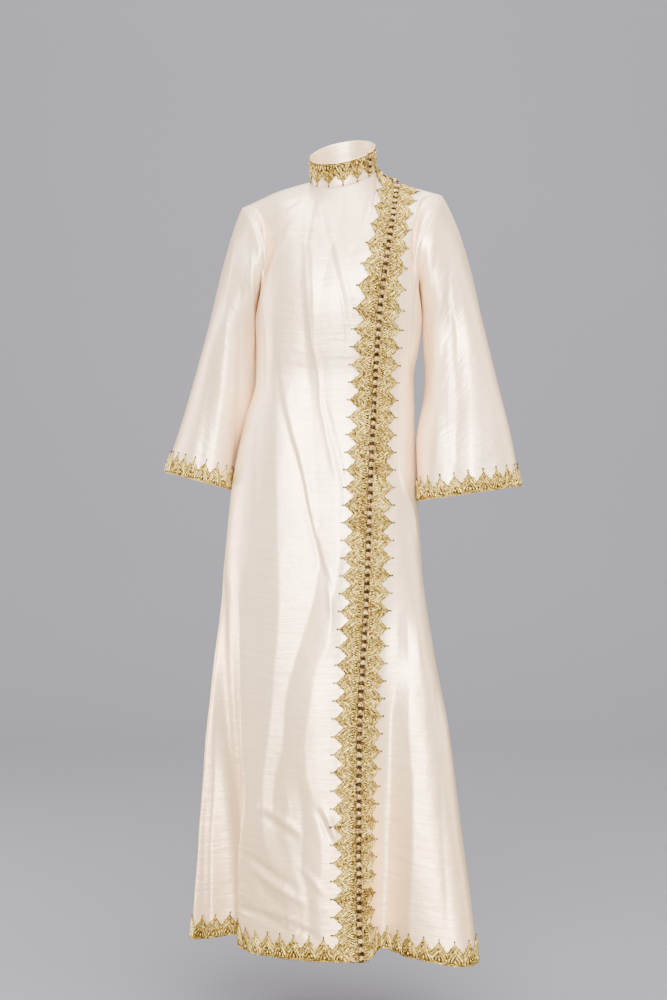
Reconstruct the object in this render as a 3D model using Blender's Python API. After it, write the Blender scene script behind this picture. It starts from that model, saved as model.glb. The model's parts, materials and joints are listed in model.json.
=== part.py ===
"""A long silk gown with a stand collar, bell sleeves, toothed gold braid and a row of knotted buttons.

Metres, +Z up, the front faces -Y and the wearer's left is +X. The origin is the middle of the neck's base,
where the wearer's neck and shoulders hold the gown. Every cloth piece is a wall of one thickness whose outer
face is worked out from the tables below, and every trim is made from the points of the cloth under it.
"""

import math
from collections import namedtuple

import bmesh
import bpy
import numpy as np

MM = 0.001

# Sizes
WALL = 1.6 * MM
SEAM_GAP = 0.3 * MM
TRIM_GAP = 0.9 * MM
BRAID_THICK = 1.6 * MM
HEM_HEIGHT = -1360 * MM
BUST_HEIGHT = -250 * MM
SKIRT_ROWS = 18
YOKE_ROWS = 8
BUTTON_PITCH = 14.5 * MM
BUTTON_WIDE = 9.2 * MM
BUTTON_TALL = 6.0 * MM
CORD_WIDE = 5.0 * MM
CORD_TALL = 2.6 * MM
BUTTON_EDGE = 6.2 * MM
SHOULDER_LIFT = 2.2 * MM
HEM_BRAID = (29 * MM, 42 * MM)
CUFF_BRAID = (24 * MM, 43 * MM)
COLLAR_TALL = 42 * MM
COLLAR_BRAID = (27 * MM, 41 * MM)
COLLAR_KNOTS = 3

# The gown's outline at each height, in millimetres, and how far the skirt is turned, in degrees
Section = namedtuple("Section", "height left right front back turn pole")
SECTIONS = [
    Section(-250, -157, 141, -130, 104, 0, 0),
    Section(-300, -155, 135, -122, 96, 0, 0),
    Section(-350, -156, 127, -113, 91, 0, 0),
    Section(-420, -175, 129, -116, 104, 1, 5),
    Section(-480, -189, 132, -123, 118, 2, 10),
    Section(-550, -201, 135, -131, 131, 3, 20),
    Section(-690, -215, 142, -146, 148, 4, 35),
    Section(-830, -231, 161, -161, 162, 6, 50),
    Section(-970, -246, 187, -175, 174, 7, 60),
    Section(-1120, -259, 205, -187, 185, 8, 70),
    Section(-1250, -268, 222, -196, 194, 9, 76),
    Section(-1360, -276, 234, -202, 200, 10, 80),
]

# The closing line seen from the front, in millimetres
Closing = namedtuple("Closing", "height across")
CLOSING = [
    Closing(-1360, 31),
    Closing(-1290, 27),
    Closing(-1150, 26),
    Closing(-1020, 26.5),
    Closing(-925, 29),
    Closing(-850, 33),
    Closing(-745, 39),
    Closing(-640, 43),
    Closing(-510, 48),
    Closing(-385, 54),
    Closing(-310, 58),
    Closing(-250, 62),
]

# Folds: degrees round the skirt from the front (or from the closing), half widths either side,
# how far they stand out at the hem (less than 0 is a valley) and how much they lift it, in millimetres,
# and how many degrees further round their top is
Fold = namedtuple("Fold", "name anchor at before after out starts growth lift drift")
FOLDS = [
    Fold("front hollow", "front", -28, 34, 36, -36, -560, 1.2, 1, 0),
    Fold("right side valley", "front", -61, 26, 38, -76, -600, 1.1, 12, -20),
    Fold("closing valley", "closing", 15, 15, 20, -62, -600, 1.8, 12, 0),
    Fold("left knee", "front", 59, 26, 34, 74, -480, 1.3, -8, 0),
    Fold("left side dent", "front", 106, 12, 13, -24, -700, 1.2, 2, 0),
    Fold("back flute 1", "front", 131, 14, 13, -38, -520, 1.2, 3, 0),
    Fold("back flute 2", "front", 160, 14, 15, -30, -460, 1.1, 2, 0),
    Fold("back flute 3", "front", 191, 15, 14, -36, -500, 1.2, 3, 0),
    Fold("back flute 4", "front", 221, 14, 15, -32, -560, 1.1, 2, 0),
    Fold("back flute 5", "front", 247, 12, 11, -26, -680, 1.2, 2, 0),
]

# Columns of the panels: the last ones follow the closing at a fixed distance
RIGHT_COLUMNS = 20
LEFT_COLUMNS = 15
BACK_COLUMNS = 28
RIGHT_EDGE = (31 * MM, 47 * MM)
LEFT_EDGE = (33 * MM, 50 * MM)

# Curves of the armholes, shoulders and neck, in millimetres
NECK_RIGHT = (-57, 0, 8)
NECK_LEFT = (58, 0, 30)
TIP_RIGHT = (-180, 8, -38)
TIP_LEFT = (178, 8, -16)
UNDER_RIGHT = (-150, 2, -190)
UNDER_LEFT = (138, 2, -192)
SHOULDER_RIGHT = [TIP_RIGHT, (-112, 5, -8), NECK_RIGHT]
SHOULDER_LEFT = [NECK_LEFT, (74, 2, 14), (100, 4, 5), (140, 6, -6), TIP_LEFT]
ARMHOLE_FRONT_RIGHT = [UNDER_RIGHT, (-146, -50, -168), (-146, -72, -118), (-164, -42, -66), TIP_RIGHT]
ARMHOLE_FRONT_LEFT = [UNDER_LEFT, (136, -50, -166), (140, -72, -108), (162, -42, -50), TIP_LEFT]
ARMHOLE_BACK_RIGHT = [UNDER_RIGHT, (-150, 52, -162), (-153, 66, -112), (-168, 46, -62), TIP_RIGHT]
ARMHOLE_BACK_LEFT = [UNDER_LEFT, (141, 52, -160), (147, 66, -104), (165, 46, -46), TIP_LEFT]
NECK_WIDE = 57.5
NECK_FRONT = 60
NECK_BACK = 60
NECK_RISE = (18.5, 0.191, 0.43)
CLOSING_ON_SHOULDER = 0.35
SHOULDER_LEFT_LONG = 131

# Rings of the sleeves, in millimetres: the outer and the inner edge, the middle's depth and half its depth
Ring = namedtuple("Ring", "name outer_x outer_z inner_x inner_z middle_y half_deep")
RIGHT_SLEEVE = [
    Ring("upper arm", -244, -258, -154, -264, 30, 62),
    Ring("elbow", -279, -380, -153, -398, 50, 66),
    Ring("flare", -301, -452, -171, -478, 55, 69),
    Ring("cuff", -324, -515, -187, -550, 58, 72),
]
LEFT_SLEEVE = [
    Ring("upper arm", 254, -250, 142, -264, 4, 58),
    Ring("elbow", 277, -350, 147, -365, -14, 62),
    Ring("flare", 298, -440, 129, -462, -40, 66),
    Ring("cuff", 317, -541, 130, -567, -50, 70),
]
SLEEVE_COLUMNS = 22
SLEEVE_ROWS = [0, 0.06, 0.13, 0.21, 0.3, 0.4, 0.5, 0.6, 0.7, 0.8, 0.9, 1.0]
CAP_ROUND = (5 * MM, 11 * MM)
BODY_CLEAR = (2.4 * MM, 6 * MM)
UNDERARM_HEIGHT = -193 * MM

# Looks
SILK = ((0.86, 0.80, 0.72, 1), 0.42, 0.0)
GOLD = ((0.55, 0.42, 0.19, 1), 0.4, 0.45)
KNOT = ((0.52, 0.40, 0.20, 1), 0.5, 0.3)


def smooth_values(knots, values, at):
    """A curve through the values that doesn't overshoot them."""
    knots, values = np.asarray(knots, float), np.asarray(values, float)
    if knots[0] > knots[-1]:
        knots, values = knots[::-1], values[::-1]
    step = np.diff(knots)
    slope = np.diff(values) / step
    bend = np.zeros(len(knots))
    same = slope[:-1] * slope[1:] > 0
    mean = 2 * slope[:-1] * slope[1:] / np.where(same, slope[:-1] + slope[1:], 1)
    bend[1:-1] = np.where(same, mean, 0)
    bend[0], bend[-1] = slope[0], slope[-1]
    at = np.clip(at, knots[0], knots[-1])
    i = np.clip(np.searchsorted(knots, at, side="right") - 1, 0, len(knots) - 2)
    t = (at - knots[i]) / step[i]
    rise = 3 * t**2 - 2 * t**3
    start = t**3 - 2 * t**2 + t
    end = t**3 - t**2
    level = values[i] * (1 - rise) + values[i + 1] * rise
    return level + step[i] * (start * bend[i] + end * bend[i + 1])


def table_value(table, key, height):
    """A column of a table of heights, read between its rows, in millimetres or degrees."""
    heights = [row.height * MM for row in table]
    return float(smooth_values(heights, [getattr(row, key) for row in table], height))


def through(points, t):
    """A smooth curve through points given in millimetres, at shares t of its length."""
    points = np.asarray(points, float) * MM
    reach = np.concatenate([[0], np.cumsum(np.linalg.norm(np.diff(points, axis=0), axis=1))])
    fine = np.linspace(0, reach[-1], 60)
    bend = np.gradient(points, reach, axis=0)
    i = np.clip(np.searchsorted(reach, fine, side="right") - 1, 0, len(points) - 2)
    step = (reach[i + 1] - reach[i])[:, None]
    x = (fine[:, None] - reach[i][:, None]) / step
    rise = 3 * x**2 - 2 * x**3
    line = points[i] * (1 - rise) + points[i + 1] * rise
    line += step * ((x**3 - 2 * x**2 + x) * bend[i] + (x**3 - x**2) * bend[i + 1])
    run = np.concatenate([[0], np.cumsum(np.linalg.norm(np.diff(line, axis=0), axis=1))])
    return np.stack([np.interp(np.asarray(t, float) * run[-1], run, line[:, k]) for k in range(3)], axis=-1)


def fold_shape(turn, fold, at):
    """How much of a fold is felt at each turn round the skirt, in 0 to 1."""
    off = (turn - at + 180) % 360 - 180
    share = np.where(off < 0, -off / fold.before, off / fold.after)
    return np.where(share < 1, 0.5 + 0.5 * np.cos(np.pi * np.clip(share, 0, 1)), 0)


SECTION_CACHE = {}


def body_section(height):
    """The gown's section at a height: points round it, their run, and where its seams are on that run."""
    key = round(height, 6)
    if key in SECTION_CACHE:
        return SECTION_CACHE[key]
    turn = np.linspace(-180, 180, 1441)
    left, right, front, back = (
        table_value(SECTIONS, name, height) * MM for name in ("left", "right", "front", "back")
    )
    middle = np.array([(left + right) / 2, (front + back) / 2])
    angle = np.radians(turn)
    square = 1 + 0.03 * np.sin(2 * angle) ** 2
    oval = np.stack([np.sin(angle) * (right - left) / 2, -np.cos(angle) * (back - front) / 2], axis=-1)
    oval *= square[:, None]
    spin = math.radians(table_value(SECTIONS, "turn", height))
    oval = oval @ np.array([[math.cos(spin), -math.sin(spin)], [math.sin(spin), math.cos(spin)]])
    points = oval + middle
    ahead = np.abs(turn) < 90
    across = table_value(CLOSING, "across", height) * MM
    closing_turn = float(np.interp(across, points[ahead, 0], turn[ahead]))
    pole = np.array([middle[0], table_value(SECTIONS, "pole", height) * MM])
    away = points - pole
    away /= np.linalg.norm(away, axis=1)[:, None]
    out, lift = np.zeros(len(turn)), np.zeros(len(turn))
    for fold in FOLDS:
        starts = fold.starts * MM
        down = max(0.0, (starts - height) / (starts - HEM_HEIGHT))
        grown = down**fold.growth
        at = fold.at + fold.drift * (1 - down) + (closing_turn if fold.anchor == "closing" else 0)
        felt = fold_shape(turn, fold, at) * grown
        out += felt * fold.out * MM
        lift += felt * fold.lift * MM
    points = points + away * out[:, None]
    low, high = points[:, 0].min(), points[:, 0].max()
    side = points[:, 0] - middle[0]
    wide = np.where(side < 0, (left - middle[0]) / (low - middle[0]), (right - middle[0]) / (high - middle[0]))
    points[:, 0] = middle[0] + side * wide
    run = np.concatenate([[0], np.cumsum(np.linalg.norm(np.diff(points, axis=0), axis=1))])
    near = np.flatnonzero(ahead & (np.abs(turn - closing_turn) < 12))
    order = near[np.argsort(points[near, 0])]
    closing = float(np.interp(across, points[order, 0], run[order]))
    seams = (float(np.interp(-90, turn, run)), closing, float(np.interp(90, turn, run)))
    xyz = np.column_stack([points, height + lift])
    SECTION_CACHE[key] = (xyz, run, seams)
    return SECTION_CACHE[key]


def right_front_run(columns, seams, whole):
    """The places of the right front's columns on a section's run, from the side seam to the closing."""
    edge = seams[1]
    stops = [seams[0], edge - RIGHT_EDGE[1], edge - RIGHT_EDGE[0], edge]
    return np.interp(columns, [0, RIGHT_COLUMNS, RIGHT_COLUMNS + 1, RIGHT_COLUMNS + 2], stops)


def left_front_run(columns, seams, whole):
    edge = seams[1]
    stops = [edge, edge + LEFT_EDGE[0], edge + LEFT_EDGE[1], seams[2]]
    return np.interp(columns, [0, 1, 2, LEFT_COLUMNS + 2], stops)


def back_run(columns, seams, whole):
    return np.interp(columns, [0, BACK_COLUMNS], [seams[2], seams[0] + whole])


def section_points(run_of, columns, height):
    xyz, run, seams = body_section(height)
    at = run_of(np.asarray(columns, float), seams, run[-1]) % run[-1]
    return np.stack([np.interp(at, run, xyz[:, k]) for k in range(3)], axis=-1)


def neck_point(angle):
    """The neck seam, 0 at the front and 90 at the wearer's left."""
    angle = np.radians(np.asarray(angle, float))
    x = NECK_WIDE * np.sin(angle) + 0.5
    y = np.where(np.cos(angle) > 0, -NECK_FRONT, -NECK_BACK) * np.cos(angle)
    return np.stack([x, y, NECK_RISE[0] + NECK_RISE[1] * x + NECK_RISE[2] * y], axis=-1) * MM


def edge_points(columns, stretches):
    """The top edge of a panel, from stretches of (first column, last column, curve of shares 0 to 1)."""
    columns = np.asarray(columns, float)
    out = np.zeros((len(columns), 3))
    for first, last, curve in stretches:
        here = (columns >= first - 1e-9) & (columns <= last + 1e-9)
        out[here] = curve((columns[here] - first) / (last - first))
    return out


def shoulder_left(share):
    return through(SHOULDER_LEFT, share)


def right_front_top(columns):
    stop = CLOSING_ON_SHOULDER
    near = stop * (1 - RIGHT_EDGE[0] / RIGHT_EDGE[1])
    neck = (10, RIGHT_COLUMNS)
    return edge_points(
        columns,
        [
            (0, 5, lambda t: through(ARMHOLE_FRONT_RIGHT, t)),
            (5, 10, lambda t: through(SHOULDER_RIGHT, t)),
            (*neck, lambda t: neck_point(-90 + 180 * t)),
            (RIGHT_COLUMNS, RIGHT_COLUMNS + 1, lambda t: shoulder_left(near * t)),
            (RIGHT_COLUMNS + 1, RIGHT_COLUMNS + 2, lambda t: shoulder_left(near + (stop - near) * t)),
        ],
    )


def left_front_top(columns):
    long = SHOULDER_LEFT_LONG * MM
    stop = CLOSING_ON_SHOULDER
    near, far = (stop + wide / long for wide in LEFT_EDGE)
    return edge_points(
        columns,
        [
            (0, 1, lambda t: shoulder_left(stop + (near - stop) * t)),
            (1, 2, lambda t: shoulder_left(near + (far - near) * t)),
            (2, 6, lambda t: shoulder_left(far + (1 - far) * t)),
            (6, LEFT_COLUMNS + 2, lambda t: through(ARMHOLE_FRONT_LEFT[::-1], t)),
        ],
    )


def back_top(columns):
    return edge_points(
        columns,
        [
            (0, 6, lambda t: through(ARMHOLE_BACK_LEFT, t)),
            (6, 11, lambda t: shoulder_left(1 - t)),
            (11, 17, lambda t: neck_point(90 + 180 * t)),
            (17, 22, lambda t: through(SHOULDER_RIGHT[::-1], t)),
            (22, 28, lambda t: through(ARMHOLE_BACK_RIGHT[::-1], t)),
        ],
    )


# How the cloth arrives at its top edge: (column, across, forward or back, up)
Arrival = namedtuple("Arrival", "column across along up")
RIGHT_FRONT_ARRIVES = [
    Arrival(0, 0, 0, 1),
    Arrival(1, -0.1, 0, 1),
    Arrival(2, -0.4, 0.25, 0.88),
    Arrival(3, -0.8, 0.4, 0.45),
    Arrival(4, -0.75, 0.6, 0.25),
    Arrival(5, -0.8, 0.57, -0.2),
    Arrival(7, -0.4, 0.85, 0.08),
    Arrival(10, 0.2, 0.8, 0.45),
    Arrival(12, 0.1, 0.55, 0.82),
    Arrival(15, 0, 0.3, 0.95),
    Arrival(18, -0.1, 0.5, 0.85),
    Arrival(20, -0.1, 0.72, 0.68),
    Arrival(22, 0, 0.85, 0.5),
]
LEFT_FRONT_ARRIVES = [
    Arrival(0, 0, 0.85, 0.5),
    Arrival(3, 0.35, 0.85, 0.2),
    Arrival(6, 0.8, 0.57, -0.16),
    Arrival(8.2, 0.75, 0.6, 0.25),
    Arrival(10.4, 0.8, 0.4, 0.45),
    Arrival(12.6, 0.4, 0.25, 0.88),
    Arrival(15, 0.1, 0, 1),
    Arrival(17, 0, 0, 1),
]
BACK_ARRIVES = [
    Arrival(0, 0, 0, 1),
    Arrival(1.2, 0.1, 0, 1),
    Arrival(2.4, 0.4, -0.25, 0.88),
    Arrival(3.6, 0.8, -0.4, 0.45),
    Arrival(4.8, 0.75, -0.6, 0.25),
    Arrival(6, 0.8, -0.57, -0.16),
    Arrival(8.5, 0.3, -0.85, 0.2),
    Arrival(11, -0.35, -0.78, 0.4),
    Arrival(12.5, -0.2, -0.68, 0.65),
    Arrival(14, 0, -0.55, 0.83),
    Arrival(15.5, 0.2, -0.7, 0.5),
    Arrival(17, 0.35, -0.9, 0.05),
    Arrival(19.5, -0.35, -0.85, 0.1),
    Arrival(22, -0.8, -0.57, -0.2),
    Arrival(23.2, -0.75, -0.6, 0.25),
    Arrival(24.4, -0.8, -0.4, 0.45),
    Arrival(25.6, -0.4, -0.25, 0.88),
    Arrival(26.8, -0.1, 0, 1),
    Arrival(28, 0, 0, 1),
]

Panel = namedtuple("Panel", "run_of top arrives columns")
RIGHT_FRONT = Panel(right_front_run, right_front_top, RIGHT_FRONT_ARRIVES, RIGHT_COLUMNS + 2)
LEFT_FRONT = Panel(left_front_run, left_front_top, LEFT_FRONT_ARRIVES, LEFT_COLUMNS + 2)
BACK = Panel(back_run, back_top, BACK_ARRIVES, BACK_COLUMNS)


def yoke_points(panel, columns, shares):
    """The part above the bust: each column runs on from the skirt's and bends over to the top edge."""
    start = section_points(panel.run_of, columns, BUST_HEIGHT)
    below = section_points(panel.run_of, columns, BUST_HEIGHT - 20 * MM)
    rise = start - below
    rise /= np.linalg.norm(rise, axis=1)[:, None]
    end = panel.top(columns)
    spots = [row.column for row in panel.arrives]
    keys = ("across", "along", "up")
    values = [np.interp(columns, spots, [getattr(row, k) for row in panel.arrives]) for k in keys]
    arrive = np.stack(values, axis=-1)
    arrive /= np.linalg.norm(arrive, axis=1)[:, None]
    reach = np.linalg.norm(end - start, axis=1)[:, None]
    first = start + rise * reach * 0.36
    second = end - arrive * reach * 0.33
    t = np.asarray(shares, float)[:, None, None]
    return (1 - t) ** 3 * start + 3 * (1 - t) ** 2 * t * first + 3 * (1 - t) * t**2 * second + t**3 * end


def panel_points(panel, columns, rows):
    """Outer points of a panel, rows up from the hem and columns across."""
    columns, rows = np.asarray(columns, float), np.asarray(rows, float)
    step = (BUST_HEIGHT - HEM_HEIGHT) / SKIRT_ROWS
    skirt = [section_points(panel.run_of, columns, HEM_HEIGHT + step * row) for row in rows if row <= SKIRT_ROWS]
    shares = [(row - SKIRT_ROWS) / YOKE_ROWS for row in rows if row > SKIRT_ROWS]
    parts = [np.array(skirt)] if skirt else []
    if shares:
        parts.append(yoke_points(panel, columns, shares))
    return np.concatenate(parts)


def unit(vectors):
    return vectors / np.linalg.norm(vectors, axis=-1, keepdims=True)


def bisector(grid, axis):
    """The direction of a grid along an axis, halfway between the edges that meet at each point."""
    step = unit(np.diff(grid, axis=axis))
    first = np.take(step, [0], axis=axis)
    last = np.take(step, [-1], axis=axis)
    return unit(np.concatenate([first, step], axis=axis) + np.concatenate([step, last], axis=axis))


def normals_of(grid, facing=1, closed=False):
    """Outward directions at a grid's points, long enough at a bend to keep the faces either side parallel."""
    if closed:
        grid = np.concatenate([grid[:, -2:], grid, grid[:, :2]], axis=1)
    normal = unit(np.cross(bisector(grid, 1), bisector(grid, 0))) * facing
    side = unit(np.diff(grid, axis=1))
    bend = (side[:, 1:] * side[:, :-1]).sum(axis=2)
    normal[:, 1:-1] /= np.clip(np.sqrt((1 + bend) / 2), 0.6, 1)[:, :, None]
    return normal[:, 2:-2] if closed else normal


def share_normals(first, second):
    """Both pieces of a seam use the direction between their own."""
    mean = unit(first + second)
    mean = mean / np.clip((mean * unit(first)).sum(axis=-1, keepdims=True), 0.6, 1)
    first[...], second[...] = mean, mean


def pull_in(grid, gap):
    """Moves the side and top edges of a panel back from its seams."""
    out = grid.copy()
    for edge, near in ((0, 1), (-1, -2)):
        step = grid[:, near] - grid[:, edge]
        out[:, edge] += gap * step / np.linalg.norm(step, axis=1)[:, None]
    step = out[-2] - out[-1]
    out[-1] += gap * step / np.linalg.norm(step, axis=1)[:, None]
    return out


def material(name, look):
    made = bpy.data.materials.new(name)
    made.use_nodes = True
    shader = made.node_tree.nodes["Principled BSDF"]
    shader.inputs["Base Color"].default_value = look[0]
    shader.inputs["Roughness"].default_value = look[1]
    shader.inputs["Metallic"].default_value = look[2]
    made.diffuse_color = look[0]
    return made


def add_object(name, points, faces, look):
    """One closed body as an object of its own, with its faces turned outwards."""
    mesh = bpy.data.meshes.new(name)
    body = bmesh.new()
    corners = [body.verts.new(point) for point in points]
    for face in faces:
        body.faces.new([corners[i] for i in face])
    bmesh.ops.recalc_face_normals(body, faces=body.faces)
    if body.calc_volume(signed=True) < 0:
        bmesh.ops.reverse_faces(body, faces=body.faces)
    body.to_mesh(mesh)
    body.free()
    made = bpy.data.objects.new(name, mesh)
    bpy.context.collection.objects.link(made)
    made.data.materials.append(material(name + "_look", look))
    return made


def hollow_cut(p00, p01, p10, p11, normal):
    """Whether a cell is cut from its second corner, so that it's hollow and what lies on it stays clear."""
    return float(np.dot(p00 + p11 - p01 - p10, normal)) > 0


def wall_solid(name, outer, normal, look, closed=False):
    """A cloth wall: the outer grid, the inner grid one wall further in, and the edges between them."""
    rows, columns = outer.shape[:2]
    inner = outer - normal * WALL
    points = np.concatenate([outer.reshape(-1, 3), inner.reshape(-1, 3)])
    half = rows * columns
    faces = []
    last = columns if closed else columns - 1
    for r in range(rows - 1):
        for c in range(last):
            d = (c + 1) % columns
            a, b, e, f = r * columns + c, r * columns + d, (r + 1) * columns + d, (r + 1) * columns + c
            if hollow_cut(outer[r, c], outer[r, d], outer[r + 1, c], outer[r + 1, d], normal[r, c]):
                cut = [(a, b, f), (b, e, f)]
            else:
                cut = [(a, b, e), (a, e, f)]
            faces += cut + [tuple(half + k for k in face[::-1]) for face in cut]
    rims = [[(0, c), (0, (c + 1) % columns)] for c in range(last)]
    rims += [[(rows - 1, (c + 1) % columns), (rows - 1, c)] for c in range(last)]
    if not closed:
        rims += [[(r + 1, 0), (r, 0)] for r in range(rows - 1)]
        rims += [[(r, columns - 1), (r + 1, columns - 1)] for r in range(rows - 1)]
    for (r1, c1), (r2, c2) in rims:
        a, b = r1 * columns + c1, r2 * columns + c2
        faces += [(a, half + a, half + b), (a, half + b, b)]
    return add_object(name, points, faces, look)


def on_wall(cloth, row, column, closed=False):
    """A point and its outward direction on a wall's outer face, on the same triangles."""
    outer, normal = cloth
    rows, columns = outer.shape[:2]
    r = int(min(max(math.floor(row + 1e-9), 0), rows - 2))
    c = int(math.floor(column + 1e-9))
    c = c % columns if closed else int(min(max(c, 0), columns - 2))
    d = (c + 1) % columns
    v, u = row - r, column - math.floor(column + 1e-9) if closed else column - c
    corners = (outer[r, c], outer[r, d], outer[r + 1, c], outer[r + 1, d])
    if hollow_cut(*corners, normal[r, c]):
        if u + v < 1:
            shares = (1 - u - v, u, v, 0)
        else:
            shares = (0, 1 - v, 1 - u, u + v - 1)
    elif u > v:
        shares = (1 - u, u - v, 0, v)
    else:
        shares = (1 - v, 0, v - u, u)
    directions = (normal[r, c], normal[r, d], normal[r + 1, c], normal[r + 1, d])
    return (
        sum(share * corner for share, corner in zip(shares, corners)),
        sum(share * direction for share, direction in zip(shares, directions)),
    )


def braid_solid(name, cloth, place, teeth, closed=False, wrap=False, split=False):
    """A toothed braid on a cloth: place(along in teeth, share) gives its row and column there.

    Share 0 is the straight edge, 1 the valleys between teeth and 2 the tips.
    """
    points, faces, facing = [], [], []

    def spot(along, share):
        row, column = place(along, share)
        p, n = on_wall(cloth, row, column, wrap)
        points.extend([p + n * TRIM_GAP, p + n * (TRIM_GAP + BRAID_THICK)])
        facing.extend([n, n])
        return len(points) - 2

    count = teeth if closed else teeth + 1
    base = [spot(i, 0) for i in range(count)]
    valley = [spot(i, 1) for i in range(count)]
    tip = [spot(i + 0.5, 2) for i in range(teeth)]
    root = [(spot(i + 0.5, 0), spot(i + 0.5, 1)) for i in range(teeth)] if split else []
    for i in range(teeth):
        j = (i + 1) % count
        if split:
            low, high = root[i]
            flat = [(base[i], low, high), (base[i], high, valley[i])]
            flat += [(low, base[j], valley[j]), (low, valley[j], high)]
            flat += [(valley[i], high, tip[i]), (high, valley[j], tip[i])]
            edges = [(low, base[i]), (base[j], low)]
        else:
            a, b, e, f = base[i], base[j], valley[j], valley[i]
            if hollow_cut(points[a], points[b], points[f], points[e], facing[a]):
                flat = [(a, b, e), (a, e, f), (f, e, tip[i])]
            else:
                flat = [(a, b, f), (b, e, f), (f, e, tip[i])]
            edges = [(base[j], base[i])]
        faces += [tuple(k + 1 for k in face) for face in flat] + [face[::-1] for face in flat]
        for a, b in (*edges, (valley[i], tip[i]), (tip[i], valley[j])):
            faces += [(a, b, b + 1), (a, b + 1, a + 1)]
    if not closed:
        for a, b in ((base[0], valley[0]), (valley[-1], base[-1])):
            faces += [(a, b, b + 1), (a, b + 1, a + 1)]
    return add_object(name, points, faces, GOLD)


def button_row(name, centre, normal, along, look=KNOT):
    """A cord with a knotted button at every second ring, as one closed body."""
    points, faces = [], []
    for i, (p, n, a) in enumerate(zip(centre, normal, along)):
        side = np.cross(a, n)
        side /= np.linalg.norm(side)
        wide, tall = (BUTTON_WIDE, BUTTON_TALL) if i % 2 else (CORD_WIDE, CORD_TALL)
        low, high = p + n * TRIM_GAP, p + n * (TRIM_GAP + tall)
        flat = 0.5 if i % 2 else 0.8
        points += [
            low - side * wide / 2,
            low + side * wide / 2,
            high + side * wide / 2 * flat,
            high - side * wide / 2 * flat,
        ]
    rings = len(centre)
    for i in range(rings - 1):
        for k in range(4):
            a, b = 4 * i + k, 4 * i + (k + 1) % 4
            faces += [(a, b, b + 4), (a, b + 4, a + 4)]
    faces += [(3, 2, 1, 0), tuple(4 * (rings - 1) + k for k in range(4))]
    return add_object(name, points, faces, look)


def even_steps(points, pitch):
    """Places at even steps along a line, as shares of its index."""
    run = np.concatenate([[0], np.cumsum(np.linalg.norm(np.diff(points, axis=0), axis=1))])
    count = 2 * int(round(run[-1] / pitch)) + 1
    return np.interp(np.linspace(0, run[-1], count), run, np.arange(len(points)))


def take(grid, at):
    i = np.clip(np.floor(at).astype(int), 0, len(grid) - 2)
    share = (at - i)[:, None]
    return grid[i] * (1 - share) + grid[i + 1] * share


def along_edge(points, share):
    run = np.concatenate([[0], np.cumsum(np.linalg.norm(np.diff(points[:, :3], axis=0), axis=1))])
    at = np.asarray(share, float) * run[-1]
    return np.stack([np.interp(at, run, points[:, k]) for k in range(points.shape[1])], axis=-1)


def armhole_loop(front, back, columns, side):
    """Points on the panels' edges from the shoulder's tip round by the front, and how to step off each.

    front and back hold an edge's points and its outward directions, tip to underarm and underarm to tip.
    """
    share = 2 * np.asarray(columns, float) / SLEEVE_COLUMNS
    ahead, behind = along_edge(front, np.clip(share, 0, 1)), along_edge(back, np.clip(share - 1, 0, 1))
    both = np.where((share <= 1)[:, None], ahead, behind)
    points, facing = both[:, :3], unit(both[:, 3:])
    edge = unit(np.roll(points, -1, axis=0) - np.roll(points, 1, axis=0))
    off = unit(np.cross(facing, edge)) * side
    return points, facing, off


def sleeve_points(rings, loop, columns, shares):
    """Outer points of a sleeve: rows from the armhole to the cuff, columns from the top round by the front."""
    angle = 360 * np.asarray(columns, float) / SLEEVE_COLUMNS
    hole, facing, off = loop
    turn = np.radians(angle)
    loops = []
    for ring in rings:
        outer = np.array([ring.outer_x, ring.middle_y, ring.outer_z]) * MM
        inner = np.array([ring.inner_x, ring.middle_y, ring.inner_z]) * MM
        half = (outer - inner) / 2
        loop = (outer + inner) / 2 + np.cos(turn)[:, None] * half
        loop[:, 1] -= np.sin(turn) * ring.half_deep * MM
        loops.append(loop)
    side = math.copysign(1, rings[0].outer_x)
    round_out = np.zeros_like(hole)
    bulge = CAP_ROUND[0 if side < 0 else 1]
    round_out[:, 0] = side * bulge * np.cos(turn / 2) ** 2
    round_out[:, 1] = -CAP_ROUND[0] * np.sin(turn)
    cap = hole * 0.58 + loops[0] * 0.42 + round_out
    near = hole * 0.85 + loops[0] * 0.15 + round_out * 0.75
    leave = unit(near - hole)
    edge = unit(np.roll(hole, -1, axis=0) - np.roll(hole, 1, axis=0))
    own = unit(np.cross(leave, edge)) * -side
    over = np.clip((own * off).sum(axis=1), 0, 1)[:, None]
    back_down = np.clip(-(leave * off).sum(axis=1) * 1.5, 0, 1)[:, None]
    hole = hole + off * (SEAM_GAP + WALL * over) + facing * SEAM_GAP * 1.6 * back_down
    lines = [hole, near, cap, *loops]
    out = np.zeros((len(shares), len(angle), 3))
    for i in range(len(angle)):
        out[:, i] = through(np.array([line[i] for line in lines]) / MM, shares)
    return out


def cloth_cloud(walls, fine=4):
    """Many points of the walls' outer faces, their outward directions, and whether each is on the top edge."""
    spots, facing, edge = [], [], []
    for grid, normal in walls:
        rows = np.linspace(0, len(grid) - 1, fine * (len(grid) - 1) + 1)
        columns = np.linspace(0, grid.shape[1] - 1, fine * (grid.shape[1] - 1) + 1)
        r = np.minimum(rows.astype(int), len(grid) - 2)
        c = np.minimum(columns.astype(int), grid.shape[1] - 2)
        v, u = (rows - r)[:, None, None], (columns - c)[None, :, None]
        for values, into in ((grid, spots), (normal, facing)):
            low = values[r][:, c] * (1 - u) + values[r][:, c + 1] * u
            high = values[r + 1][:, c] * (1 - u) + values[r + 1][:, c + 1] * u
            into.append((low * (1 - v) + high * v).reshape(-1, 3))
        edge.append(np.repeat(rows > len(grid) - 1.01, len(columns)))
    return np.concatenate(spots), unit(np.concatenate(facing)), np.concatenate(edge)


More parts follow.
